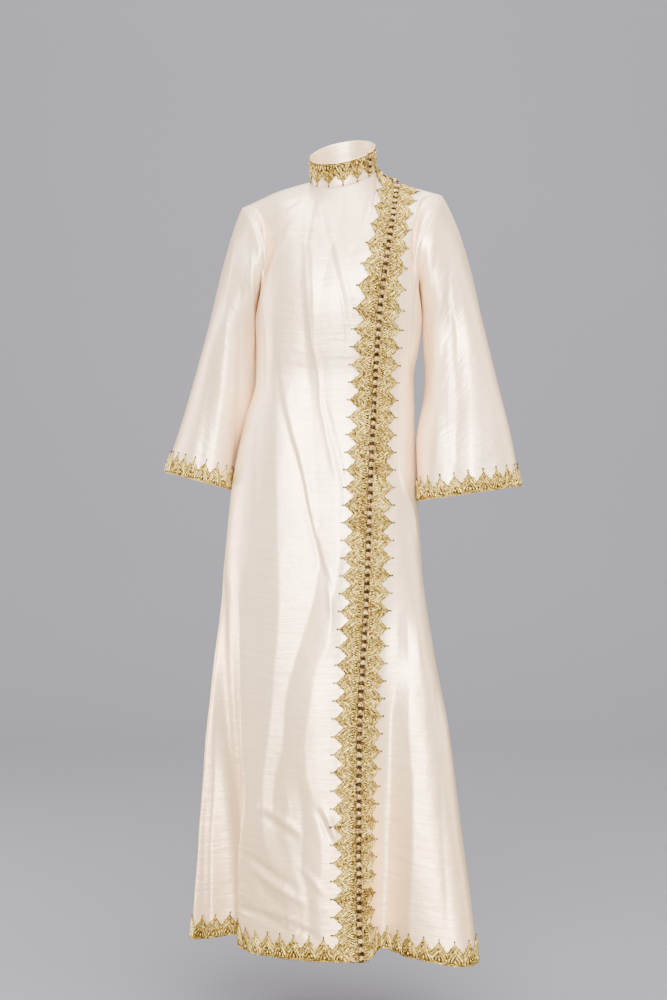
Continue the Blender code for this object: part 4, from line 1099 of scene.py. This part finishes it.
# Cords and the teeth of the braid, worked flat in millimetres: along the braid, across it and up
def cord_rings(line, wide, tall, sides=4, ends=True):
    """Rings round a cord that lies along a line, closed to a point at its ends."""
    line = np.asarray(line, float)
    step = np.gradient(line[:, :2], axis=0)
    step /= np.maximum(np.linalg.norm(step, axis=1, keepdims=True), 1e-9)
    side = np.stack([-step[:, 1], step[:, 0]], axis=1)
    turn = np.linspace(0, 2 * np.pi, sides + 1)
    size = np.ones(len(line))
    if ends:
        line = np.concatenate([line[:1], line, line[-1:]])
        side = np.concatenate([side[:1], side, side[-1:]])
        size = np.concatenate([[0], size, [0]])
    rings = np.zeros((len(line), sides + 1, 3))
    off = np.cos(turn)[None] * size[:, None] * wide / 2
    rings[:, :, :2] = line[:, None, :2] + side[:, None] * off[..., None]
    rings[:, :, 2] = line[:, 2:] + np.sin(turn)[None] * size[:, None] * tall / 2
    return rings


Tooth = namedtuple("Tooth", "pitch inner valley tip picot bands arches")
FRONT_TOOTH = Tooth(30.8, 5.9, 28.5, 45.8, 50, 4, 3)
HEM_TOOTH = Tooth(28.5, 1.0, 22, 40.5, 44.5, 4, 2)
CUFF_TOOTH = Tooth(21.5, 1.0, 20.5, 37, 43, 3, 2)
COLLAR_TOOTH = Tooth(25.7, 1.0, 23.5, 37.5, 42, 3, 2)
SHOULDER_TOOTH = Tooth(23, 1.0, 13, 24, 28.5, 3, 1)

# The plate's two faces, the height of the cords on it and the steps from cord to cord; then the cords: those
# at the straight edge as (from the edge, width, tone), the zigzag bands' half widths and tones, and the tones
# of the arches
PLATE = (0.4, 1.1)
CORD_LIES = PLATE[1] + 0.45
BAND_GAP = 3.9
ARCH_GAP = 4.2
EDGE_CORDS = ((0.7, 2.1, 0.85), (2.8, 1.7, 0.75))
BAND_HALVES = (1.35, 1.5, 1.4, 1.5)
BAND_TONES = (0.92, 1.2, 0.95, 1.12)
ARCH_TONES = (1.15, 0.95, 1.2)
EDGE_CORD_TALL = 1.8
BAND_TALL = 2.2
ARCH_WIDE = 2.4
# From the toothed edge to its first cord, and from the arches to the straight edge and to the tooth's sides
EDGE_INSET = 1.1
ARCH_FOOT = 2.6
ARCH_SIDE = 1.3
# The eye, a thread cushion whose bright tone is a painted glint, as (from the straight edge, length, width,
# tone), the picot's stalk and knob, as (width, height, tone), how far to the side the small picots are, as a
# share of the pitch, and their cord, as (out to the side, past the edge, up)
GLINT_EYE = (7.2, 4.6, 2.6, 1.5)
STALK = (2.2, 1.6, 0.5)
KNOB = (4.2, 3, 0.16)
SIDE_PICOT_AT = 0.27
SIDE_PICOT = ((0, -2.2, 1.5), (0.4, 0.4, 1.5), (0.7, 1.5, 1.4))


def tooth_edge(tooth, along):
    """How far across the plate of a tooth reaches, at places along it."""
    off = np.abs(along - tooth.pitch / 2) / (tooth.pitch / 2)
    return tooth.valley + (tooth.tip - tooth.valley) * (1 - off**0.82)


def band_line(tooth, k):
    """A cord that follows the toothed edge, k cords in from it."""
    along = np.linspace(0, tooth.pitch, 13)
    across = tooth_edge(tooth, along) - EDGE_INSET - BAND_GAP * k
    return np.stack([along, across, np.full(13, CORD_LIES)], axis=1)


def arch_line(tooth, k):
    """One of the nested pointed arches inside a tooth, from the straight edge over its point and back."""
    t = np.linspace(0, 1, 7)
    top = tooth.tip - EDGE_INSET - BAND_GAP * tooth.bands - ARCH_GAP * k
    low = tooth.inner + ARCH_FOOT
    wide = (tooth.pitch / 2 - ARCH_SIDE) * (1 - k / (tooth.arches + 0.35))
    across = tooth.pitch / 2 - wide * (1 - t**1.5)
    left = np.stack([across, low + (top - low) * t, np.full(7, CORD_LIES)], axis=1)
    right = left[-2::-1].copy()
    right[:, 0] = tooth.pitch - right[:, 0]
    return np.concatenate([left, right])


def eye(body, middle, across, long, wide, tone):
    """A small cushion of thread, toned bright as a painted glint."""
    line = [(middle, across - long / 2 + long * s, PLATE[1] + 0.7) for s in (0, 0.2, 0.5, 0.8, 1)]
    rings = cord_rings(line, 1, 1, 6)
    swell = np.array([0, 0.5, 0.85, 1, 0.85, 0.5, 0])[:, None]
    rings[:, :, 0] = middle + (rings[:, :, 0] - middle) * wide * swell
    rings[:, :, 2] = PLATE[1] + 0.6 + (rings[:, :, 2] - PLATE[1] - 0.7) * 2.6 * swell
    placed_grid(body, rings, tone)


def tooth_body(tooth):
    """One tooth of braid: a dark plate that paints the shade between the cords, edge cords, zigzag bands,
    nested arches, a bright eye that is a painted glint, and picots.
    """
    body = bmesh.new()
    body.verts.layers.float.new("tone")
    along = np.linspace(0, tooth.pitch, 11)
    edge = tooth_edge(tooth, along)
    low, high = PLATE
    shares = np.array([0, 0, 0.33, 0.66, 1, 1, 0])
    heights = np.array([low, high, high, high, high, low, low])
    plate = np.zeros((len(along), len(shares), 3))
    plate[:, :, 0] = along[:, None]
    plate[:, :, 1] = tooth.inner + (edge[:, None] - tooth.inner) * shares[None]
    plate[:, :, 2] = heights[None]
    # The plate's low tone paints the shade in the grooves between the cords.
    placed_grid(body, plate, 0.3)
    steps = np.linspace(0, tooth.pitch, 9)
    for off, wide, tone in EDGE_CORDS:
        line = np.stack([steps, np.full(9, tooth.inner + off), np.full(9, PLATE[1] + 0.5)], axis=1)
        placed_grid(body, cord_rings(line, wide, EDGE_CORD_TALL, ends=False), tone)
    for k in range(tooth.bands):
        line = band_line(tooth, k)
        rings = cord_rings(line, 1, BAND_TALL, ends=False)
        rings[:, :, 0] = line[:, :1]
        rings[:, :, 1] = line[:, 1:2] + np.cos(np.linspace(0, 2 * np.pi, 5))[None] * BAND_HALVES[k]
        placed_grid(body, rings, BAND_TONES[k])
    for k in range(tooth.arches):
        placed_grid(body, cord_rings(arch_line(tooth, k), ARCH_WIDE, BAND_TALL), ARCH_TONES[k])
    middle = tooth.pitch / 2
    off, long, wide, tone = GLINT_EYE
    eye(body, middle, tooth.inner + off, long, wide, tone)
    wide, high, tone = STALK
    stalk = [(middle, tooth.tip - 2, PLATE[1]), (middle, tooth.tip, 1.4), (middle, tooth.picot - 2, 1.5)]
    placed_grid(body, cord_rings(stalk, wide, high), tone)
    wide, high, tone = KNOB
    knob = [(middle, tooth.picot - off, 1.6) for off in (4.2, 2.1, 0)]
    rings = cord_rings(knob, wide, high, 6)
    rings[[1, 3]] = rings[[2]] * 0.55 + rings[[1, 3]].mean(axis=1, keepdims=True) * 0.45
    placed_grid(body, rings, tone)
    for way in (-1, 1):
        spot = middle + way * tooth.pitch * SIDE_PICOT_AT
        reach = float(tooth_edge(tooth, np.array([spot]))[0])
        line = [(spot + way * out, reach + past, high) for out, past, high in SIDE_PICOT]
        placed_grid(body, cord_rings(line, 1.8, 1.6), 0.7)
    return body


def braid_object(name, tooth, teeth, place, seed):
    """Teeth in a row, joined, then laid on the cloth by place(along in teeth, across in metres, height)."""
    body = tooth_body(tooth)
    repeat(body, teeth, (tooth.pitch, 0, 0))
    mesh = mesh_of(name, body)
    flat = mesh_points(mesh)
    along = flat[:, 0] / tooth.pitch
    chance = np.random.default_rng(seed)
    tooth_tone = 1 + chance.normal(0, 0.08, teeth + 1)
    strand = np.clip(0.92 + chance.normal(0, 0.28, len(flat)), 0.4, 1.8)
    greener = chance.uniform(0, 1, teeth + 1)
    which = np.clip(along.astype(int), 0, teeth - 1)
    rim = np.clip((flat[:, 1] - tooth.valley) / (tooth.tip - tooth.valley), 0, 1)
    tone = read_tone(mesh) * tooth_tone[which] * strand
    flat[:, 1:] += chance.normal(0, 0.2, (len(flat), 2)) * (flat[:, 2:] > PLATE[1])
    points = place(along, flat[:, 1] * MM, flat[:, 2] * MM)
    return finish_trim(mesh, points, tone, rim * 0.7 + 0.3 * greener[which], gold)


# A knot's half sizes, how high its middle lies and how square it is, then half the width of the dark strip
# under the knots, which paints the shade in the gaps between them, and the heights of its two faces
KNOT_HALF = (5.4, 4.3, 3.0)
KNOT_LIES = 3.6
KNOT_POWER = 3.2
SHADE_STRIP_HALF = 5.8
SHADE_STRIP_FLAT = (0.2, 0.9)
# The loops of cord either side of a knot: how far out their ends are, how much further their middle is
# and how long they are
LOOP_OUT = 4.2
LOOP_SWELL = 2.6
LOOP_LONG = 12


def button_body():
    """One knotted button, flat in millimetres: a rounded knot with its cords wound over it."""
    body = bmesh.new()
    tone = body.verts.layers.float.new("tone")
    bmesh.ops.create_uvsphere(body, u_segments=12, v_segments=8, radius=1)
    for vert in body.verts:
        x, y, z = vert.co
        turn = math.atan2(y, x)
        flat = math.hypot(x, y)
        square = (abs(math.cos(turn)) ** KNOT_POWER + abs(math.sin(turn)) ** KNOT_POWER) ** (-1 / KNOT_POWER)
        wind = math.cos(3 * turn + 2.4 * z) * flat
        swell = 1 + 0.07 * wind
        wide, long, high = KNOT_HALF
        up = KNOT_LIES + z * high * (1 + 0.05 * wind)
        vert.co = (x * square * swell * wide, y * square * swell * long, up)
        # Painted light: the tone is brighter on the wound ridges and the top and darker in the grooves and
        # underneath.
        vert[tone] = 0.82 + 0.3 * wind + 0.1 * z
        vert.tag = True
    return body


def button_object(name, line, normal, along, seed):
    """A row of knots along a line, over a dark strip that paints the shade between them, with a loop of cord
    either side of each.
    """
    count = len(line)
    side = unit(np.cross(along, normal))
    along = np.cross(normal, side)
    body = button_body()
    for way in (-1, 1):
        spots = np.linspace(0, 1, 7)
        out = [way * (LOOP_OUT + LOOP_SWELL * math.sin(math.pi * t)) for t in spots]
        loop = [(x, LOOP_LONG * (t - 0.5), 1.6) for x, t in zip(out, spots)]
        placed_grid(body, cord_rings(loop, 1.5, 1.6), 0.9)
    ring = [(way * SHADE_STRIP_HALF, SHADE_STRIP_FLAT[face]) for way, face in ((-1, 0), (-1, 1), (1, 1), (1, 0), (-1, 0))]
    strip = [[(x, y, z) for x, z in ring] for y in (-BUTTON_STEP / 2, 0, BUTTON_STEP / 2)]
    # The strip takes the darkest colour (tone 0): painted shade in the gaps between the knots.
    placed_grid(body, np.array(strip), 0.0)
    repeat(body, count, (0, BUTTON_STEP, 0))
    mesh = mesh_of(name, body)
    flat = mesh_points(mesh)
    at = np.clip(flat[:, 1] / BUTTON_STEP, -0.5, count - 0.5)
    steps = np.arange(count)
    ends = np.concatenate([line[:1] - (line[1:2] - line[:1]), line, line[-1:] + (line[-1:] - line[-2:-1])])
    point = read_along(at, np.arange(-1, count + 1), ends)
    out = unit(read_along(at, steps, normal))
    across = read_along(at, steps, side)
    points = point + across * flat[:, :1] * MM + out * (TRIM_GAP + flat[:, 2:] * MM * 0.9)
    each = 1 + np.random.default_rng(seed).normal(0, 0.08, count)
    tone = read_tone(mesh) * each[np.clip(np.rint(at).astype(int), 0, count - 1)]
    return finish_trim(mesh, points, tone, np.zeros(len(flat)), cord)


# Materials
class Value:
    """A number socket of a material that takes part in sums and products."""

    def __init__(self, look, socket):
        self.look = look
        self.socket = socket

    def maths(self, operation, first, second):
        return self.look.node("ShaderNodeMath", {"operation": operation}, {0: first, 1: second})

    def __add__(self, other):
        return self.maths("ADD", self, other)

    def __radd__(self, other):
        return self.maths("ADD", other, self)

    def __rsub__(self, other):
        return self.maths("SUBTRACT", other, self)

    def __mul__(self, other):
        return self.maths("MULTIPLY", self, other)


class Look:
    """A material under way: its Principled shader and the nodes that feed it."""

    def __init__(self, name, **constants):
        self.material = bpy.data.materials.new(name)
        self.material.use_nodes = True
        self.tree = self.material.node_tree
        self.shader = self.tree.nodes["Principled BSDF"]
        for socket, value in constants.items():
            self.shader.inputs[socket.replace("_", " ")].default_value = value

    def node(self, kind, settings=None, inputs=None, output=0):
        made = self.tree.nodes.new(kind)
        for key, value in (settings or {}).items():
            if key == "stops":
                ramp = made.color_ramp
                while len(ramp.elements) < len(value):
                    ramp.elements.new(0.5)
                for element, (spot, colour) in zip(ramp.elements, value):
                    element.position = spot
                    element.color = colour
            else:
                setattr(made, key, value)
        for socket, value in (inputs or {}).items():
            self.feed(made.inputs[socket], value)
        return Value(self, made.outputs[output])

    def feed(self, socket, value):
        if isinstance(value, Value):
            self.tree.links.new(value.socket, socket)
        else:
            socket.default_value = value

    def finish(self, **links):
        for socket, value in links.items():
            self.feed(self.shader.inputs[socket.replace("_", " ")], value)
        return self.material

    def place(self):
        return self.node("ShaderNodeTexCoord", {}, {}, 3)

    def noise(self, place, scale, detail=2.0, rough=0.5):
        inputs = {"Vector": place, "Scale": scale, "Detail": detail, "Roughness": rough}
        return self.node("ShaderNodeTexNoise", {}, inputs)

    def stretched(self, place, across, up):
        settings = {"operation": "MULTIPLY"}
        return self.node("ShaderNodeVectorMath", settings, {0: place, 1: (across, up, 1.0)})

    def span(self, value, low, high, to_low=0.0, to_high=1.0):
        inputs = {"Value": value, 1: low, 2: high, 3: to_low, 4: to_high}
        return self.node("ShaderNodeMapRange", {"clamp": True}, inputs)

    def mix(self, share, first, second, blend="MIX"):
        settings = {"data_type": "RGBA", "blend_type": blend}
        return self.node("ShaderNodeMix", settings, {0: share, 6: first, 7: second}, 2)

    def bump(self, height, strength, distance, under=None):
        inputs = {"Strength": strength, "Distance": distance, "Height": height}
        if under is not None:
            inputs["Normal"] = under
        return self.node("ShaderNodeBump", {}, inputs)


def silk_look():
    """Ivory slubbed silk: uneven weft threads, a fine weave and a sheen that breaks up along the weft, with
    painted warm bounce light that grows towards the hem.
    """
    look = Look("ivory_silk", Specular_IOR_Level=0.9, Coat_Weight=0.45, Coat_Roughness=0.36, Coat_IOR=1.5)
    weave = look.node("ShaderNodeUVMap", {"uv_map": "weave"})
    cloud = look.noise(look.stretched(weave, 9.0, 5.0), 1.0, 3.0)
    slubs = look.noise(look.stretched(weave, 16.0, 330.0), 1.0, 3.0, 0.55)
    bands = look.noise(look.stretched(weave, 11.0, 95.0), 1.0, 4.0, 0.6)
    crumple = look.noise(look.stretched(weave, 17.0, 13.0), 1.0, 4.0, 0.55)
    fine = look.noise(look.stretched(weave, 60.0, 1100.0), 1.0, 2.0)
    warp = look.noise(look.stretched(weave, 900.0, 25.0), 1.0, 2.0)
    streak = look.span(slubs, 0.56, 0.74)
    thin = look.span(slubs, 0.44, 0.26)
    base = look.mix(look.span(cloud, 0.3, 0.7), (0.80, 0.575, 0.35, 1), (0.85, 0.64, 0.415, 1))
    # Painted warm bounce light: the base colour grows warmer and darker towards the hem.
    height = look.node("ShaderNodeSeparateXYZ", {}, {"Vector": look.place()}, 2)
    base = look.mix(look.span(height, -0.7, -1.2) * 0.7, base, (0.80, 0.53, 0.275, 1))
    base = look.mix(streak * 0.5, base, (0.92, 0.76, 0.56, 1))
    base = look.mix(thin * 0.35, base, (0.70, 0.45, 0.25, 1))
    rough = 0.41 - streak * 0.05 + thin * 0.05 + fine * 0.03
    metal = 0.45 + streak * 0.08
    normal = look.bump(crumple, 0.5, 0.0058)
    normal = look.bump(bands, 0.5, 0.0022, normal)
    normal = look.bump(slubs, 0.2, 0.0006, normal)
    normal = look.bump(fine + warp * 0.6, 0.10, 0.0003, normal)
    return look.finish(Base_Color=base, Roughness=rough, Metallic=metal, Normal=normal)


def thread_look(name, gap, dark, middle, bright, green, metal, rough):
    """Metal thread: its colour follows each cord's own tone, with painted glints and painted shade in the
    gaps between strands.
    """
    look = Look(name, Specular_IOR_Level=0.06)
    tone = look.node("ShaderNodeAttribute", {"attribute_name": "tone"}, {}, 2)
    tint = look.node("ShaderNodeAttribute", {"attribute_name": "green"}, {}, 2)
    place = look.place()
    grain_and_glints = look.noise(place, 310.0, 3.0, 0.7)
    patch = look.noise(place, 90.0, 3.0, 0.6)
    brown = look.noise(place, 33.0, 2.0)
    # The fine noise paints glints and dark specks of shade into the colour, as well as roughening and bumping
    # it.
    level = tone * (0.5 + patch) + look.span(grain_and_glints, 0.36, 0.64, -0.6, 0.6)
    stops = [(0.0, gap), (0.26, dark), (0.52, middle), (0.86, bright)]
    colour = look.node("ShaderNodeValToRGB", {"stops": stops}, {"Fac": level * 0.55})
    colour = look.mix(tint * 0.45, colour, green, "MULTIPLY")
    colour = look.mix(look.span(brown, 0.58, 0.75) * 0.5, colour, (0.9, 0.66, 0.48, 1), "MULTIPLY")
    roughness = look.span(grain_and_glints, 0.3, 0.7, rough + 0.14, rough - 0.08)
    normal = look.bump(grain_and_glints, 0.8, 0.0012)
    shiny = look.span(level, 0.1, 0.9, 0.0, metal)
    return look.finish(Base_Color=colour, Roughness=roughness, Metallic=shiny, Normal=normal)


def plain_look(name, colour, rough):
    look = Look(name, Roughness=rough)
    patch = look.noise(look.place(), 0.7, 2.0)
    shade = look.mix(look.span(patch, 0.3, 0.7), colour, tuple(c * 0.97 for c in colour[:3]) + (1,))
    return look.finish(Base_Color=shade)


silk = silk_look()
# The gap colours, the ramps' darkest stops, are painted shade for the gaps and grooves between cords and
# under the knots.
GOLD_GAP_SHADE, GOLD_DARK = (0.014, 0.007, 0.0015, 1), (0.13, 0.070, 0.015, 1)
GOLD_MIDDLE, GOLD_BRIGHT = (0.41, 0.275, 0.052, 1), (0.92, 0.72, 0.26, 1)
KNOT_GAP_SHADE, KNOT_DARK = (0.012, 0.006, 0.002, 1), (0.10, 0.055, 0.02, 1)
KNOT_MIDDLE, KNOT_BRIGHT = (0.28, 0.175, 0.05, 1), (0.64, 0.46, 0.17, 1)
TARNISH = (0.86, 0.94, 0.66, 1)
gold = thread_look("gold_thread", GOLD_GAP_SHADE, GOLD_DARK, GOLD_MIDDLE, GOLD_BRIGHT, TARNISH, 0.45, 0.4)
cord = thread_look("knot_cord", KNOT_GAP_SHADE, KNOT_DARK, KNOT_MIDDLE, KNOT_BRIGHT, TARNISH, 0.25, 0.42)

# The cloth pieces, each a thin wall inside its outer face
for name, cloth in cloths.items():
    piece = add_object(name + "_silk", cloth_mesh(name + "_silk", cloth.points, cloth.closed), silk)
    wall = piece.modifiers.new("cloth", "SOLIDIFY")
    wall.thickness = SILK_THICK
    wall.offset = -1
    hand_over(piece, name)


# The braids, each laid on its cloth
front_teeth = 2 * SKIRT_ROWS + YOKE_ROWS
for side, (near, far), columns, seed in (
    ("front_right", RIGHT_EDGE, [22, 21, 20, 19], 1),
    ("front_left", LEFT_EDGE, [0, 1, 2, 2.6], 2),
):

    def front_place(along, across, lift, side=side, wide=(0, near, far, 2 * far - near), columns=columns):
        """Two teeth to a row on the skirt and one to a row above the bust."""
        above = np.minimum(SKIRT_ROWS + along - 2 * SKIRT_ROWS, TOP_ROW - 0.1)
        row = np.where(along <= 2 * SKIRT_ROWS, along / 2, above)
        return lay_on(cloths[side], row, np.interp(across, wide, columns), lift + TRIM_GAP)

    piece = braid_object("braid_" + side + "_gold", FRONT_TOOTH, front_teeth, front_place, seed)
    hand_over(piece, "braid_" + side)


def shoulder_place(along, across, lift):
    """Two small teeth that hang from the shoulder between the collar and the closing."""
    column = np.interp(along, [0, 2], [RIGHT_COLUMNS - 0.1, RIGHT_COLUMNS + 1.7])
    row = TOP_ROW - 0.03 - across / SHOULDER_ROW_TALL
    return lay_on(cloths["front_right"], row, column, lift + 1.9 * TRIM_GAP)


piece = braid_object("braid_shoulder_gold", SHOULDER_TOOTH, 2, shoulder_place, 9)
hand_over(piece, "braid_front_right")

# Along the hem the teeth are equal; it lies lower where it runs under the fronts' braid
hem_step = (BUST_HEIGHT - HEM_HEIGHT) / SKIRT_ROWS
for name, cloth, columns, high, seed in (
    ("braid_hem_right", "front_right", [0, 20.4, 21, 21.35], [1, 1, 0.6, 0.5], 3),
    ("braid_hem_left", "front_left", [0.6, 0.8, 1.6, LEFT_COLUMNS + 2], [0.5, 0.6, 1, 1], 4),
    ("braid_hem_back", "back", [0, BACK_COLUMNS], [1, 1], 5),
):
    sheet = cloths[cloth]
    run = run_along(sheet.points[0])
    ends = np.interp([columns[0], columns[-1]], sheet.columns, run)
    teeth = round((ends[1] - ends[0]) / (HEM_TOOTH.pitch * MM))

    def hem_place(along, across, lift, sheet=sheet, run=run, ends=ends, teeth=teeth, heights=(columns, high)):
        column = np.interp(np.interp(along, [0, teeth], ends), run, sheet.columns)
        lift = (lift + TRIM_GAP) * np.interp(column, *heights)
        return lay_on(sheet, across / hem_step, column, lift)

    hand_over(braid_object(name + "_gold", HEM_TOOTH, teeth, hem_place, seed), name)

for name, cloth, seed in (("braid_cuff_right", "sleeve_right", 6), ("braid_cuff_left", "sleeve_left", 7)):
    sleeve = cloths[cloth]
    run = np.linalg.norm(np.diff(sleeve.points, axis=0), axis=2)[::-1].cumsum(axis=0)
    near = int(np.searchsorted(-sleeve.rows[::-1], -0.9))
    cuff_long = run[near - 1]

    def cuff_place(along, across, lift, sleeve=sleeve, cuff_long=cuff_long, near=near):
        long = np.interp(np.mod(along, SLEEVE_COLUMNS), sleeve.columns, cuff_long)
        share = 1 - (1 - sleeve.rows[::-1][near]) * across / long
        return lay_on(sleeve, share, along, lift + TRIM_GAP)

    piece = braid_object(name + "_gold", CUFF_TOOTH, SLEEVE_COLUMNS, cuff_place, seed)
    hand_over(piece, name)


def collar_place(along, across, lift):
    return lay_on(cloths["collar"], 2 - 2 * across / COLLAR_TALL, 2 * along, lift + TRIM_GAP)


piece = braid_object("braid_collar_gold", COLLAR_TOOTH, COLLAR_COLUMNS // 2, collar_place, 8)
hand_over(piece, "braid_collar")

# The buttons, one row from the collar's end over the shoulder and down to the hem
run = run_along(closing_line)
count = round(run[-1] / (BUTTON_STEP * MM))
spots = (np.arange(count) + 0.5) * run[-1] / count
line, up = read_along(spots, run, closing_line), unit(read_along(spots, run, closing_normal))
thirds = np.linspace(0, count - 1, 4).round().astype(int)
for i, name in enumerate(("buttons_low", "buttons_middle", "buttons_high")):
    part = slice(thirds[i], thirds[i + 1])
    slope = np.gradient(line, axis=0)[part]
    hand_over(button_object(name + "_cord", line[part], up[part], slope, 20 + i), name)

shoulder = shoulder_left(np.linspace(0.02, CLOSING_ON_SHOULDER - 0.02, 4))
up_there = np.tile(unit(np.array([0.15, -0.6, 0.8])), (len(shoulder), 1))
resting = shoulder + up_there * SHOULDER_LIFT * 0.6
piece = button_object("buttons_shoulder_cord", resting, up_there, np.gradient(shoulder, axis=0), 30)
hand_over(piece, "buttons_shoulder")

knots = np.linspace(0.6, 1.75, 3)
column = np.full(3, COLLAR_KNOTS_COLUMN)
line = lay_on(cloths["collar"], knots, column, np.full(3, TRIM_GAP + BRAID_THICK))
up = unit(line - lay_on(cloths["collar"], knots, column, np.zeros(3)))
piece = button_object("buttons_collar_cord", line, up, np.gradient(line, axis=0), 31)
hand_over(piece, "buttons_collar")


# Floor, light and camera
FLOOR = -1.505
FLOOR_FROM, FLOOR_TO = -8, 5.0
SWEEP_HALF_WIDE = 9
SWEEP_RADIUS = 3.6
SWEEP_STEPS = 24
BACKDROP_TOP = 6


def sweep():
    """A floor that curves up into a backdrop."""
    body = bmesh.new()
    profile = [(FLOOR_FROM, FLOOR), (FLOOR_TO, FLOOR)]
    for i in range(1, SWEEP_STEPS + 1):
        turn = math.radians(90 * i / SWEEP_STEPS)
        out, up = SWEEP_RADIUS * math.sin(turn), SWEEP_RADIUS * (1 - math.cos(turn))
        profile.append((FLOOR_TO + out, FLOOR + up))
    profile.append((FLOOR_TO + SWEEP_RADIUS, BACKDROP_TOP))
    verts = [body.verts.new((-SWEEP_HALF_WIDE, y, z)) for y, z in profile]
    edges = [body.edges.new(pair) for pair in zip(verts, verts[1:])]
    wide = bmesh.ops.extrude_edge_only(body, edges=edges)["geom"]
    moved = [part for part in wide if isinstance(part, bmesh.types.BMVert)]
    bmesh.ops.translate(body, verts=moved, vec=(2 * SWEEP_HALF_WIDE, 0, 0))
    bmesh.ops.recalc_face_normals(body, faces=body.faces)
    if body.faces[0].normal.z < 0:
        bmesh.ops.reverse_faces(body, faces=body.faces)
    mesh = mesh_of("studio_sweep", body)
    return add_object("studio_sweep", mesh, plain_look("studio_paper", (0.146, 0.145, 0.163, 1), 0.9))


sweep()


def area_light(name, place, aim, size, power, colour=(1, 1, 1)):
    lamp = bpy.data.lights.new(name, "AREA")
    lamp.shape = "RECTANGLE"
    lamp.size, lamp.size_y = size
    lamp.energy = power
    lamp.color = colour
    made = bpy.data.objects.new(name, lamp)
    made.location = place
    made.rotation_euler = (Vector(aim) - Vector(place)).to_track_quat("-Z", "Y").to_euler()
    bpy.context.scene.collection.objects.link(made)


area_light("softbox_high", (-0.1, -5.2, 0.9), (0, 0, -0.5), (3.2, 2.0), 690)
area_light("softbox_low", (-0.1, -5.2, -1.1), (0, 0, -0.8), (3.2, 1.2), 300, (1, 0.93, 0.82))
area_light("softbox_above", (0.7, -4.4, 2.3), (0.1, 0, -0.3), (4.0, 1.6), 450)
area_light("softbox_right_high", (2.9, -3.6, 2.2), (0.15, 0, -0.3), (1.8, 1.6), 120)
area_light("softbox_top", (-0.1, -0.6, 3.0), (0, 0, 0), (2.6, 1.4), 220)
area_light("rim_left", (-3.0, 1.8, -0.85), (0, 0, -1.1), (0.9, 1.0), 100, (1, 0.80, 0.56))
area_light("softbox_left", (-3.2, 0.9, 0.1), (0, 0, -0.5), (1.2, 2.2), 70)
area_light("softbox_right", (3.2, 0.9, 0.0), (0, 0, -0.6), (1.2, 2.6), 45, (1, 0.88, 0.74))
area_light("strip_back", (0.4, 2.0, 2.4), (0, 0, -0.4), (2.0, 1.0), 40)
area_light("backdrop_wash", (0, 3.6, 4.4), (0, 8.0, 0.6), (7.0, 0.8), 980)
world = bpy.data.worlds.new("studio")
bpy.context.scene.world = world
world.use_nodes = True
background = world.node_tree.nodes["Background"]
background.inputs["Color"].default_value = (0.9, 0.9, 0.93, 1)
background.inputs["Strength"].default_value = 0.6

camera = bpy.data.cameras.new("camera")
camera.lens = 90
camera.sensor_fit = "VERTICAL"
camera.sensor_height = 36
viewer = bpy.data.objects.new("camera", camera)
viewer.location = (-0.017, -4.5, -0.565)
viewer.rotation_euler = (math.radians(90), 0, 0)
bpy.context.scene.collection.objects.link(viewer)
bpy.context.scene.camera = viewer

# The flat cut of each panel in metres, what it hangs from and what is sewn on it
Cut = namedtuple("Cut", "name wide long area hangs_from carries")
CUTS = [
    Cut("front_right", 0.46, 1.42, 0.48, ["collar"], [
        "braid_front_right", "braid_shoulder", "braid_hem_right",
        "buttons_low", "buttons_middle", "buttons_high", "buttons_shoulder",
    ]),
    Cut("front_left", 0.42, 1.40, 0.30, ["back"], ["braid_front_left", "braid_hem_left"]),
    Cut("back", 0.79, 1.42, 0.75, ["collar"], ["braid_hem_back"]),
    Cut("sleeve_right", 0.45, 0.50, 0.18, ["front_right", "back"], ["braid_cuff_right"]),
    Cut("sleeve_left", 0.52, 0.55, 0.20, ["front_left", "back"], ["braid_cuff_left"]),
    Cut("collar", 0.37, 0.042, 0.0155, [], ["braid_collar", "buttons_collar"]),
]
for cut in CUTS:
    trims = [piece for piece in bpy.data.objects if piece.name.rsplit("_", 1)[0] in cut.carries]
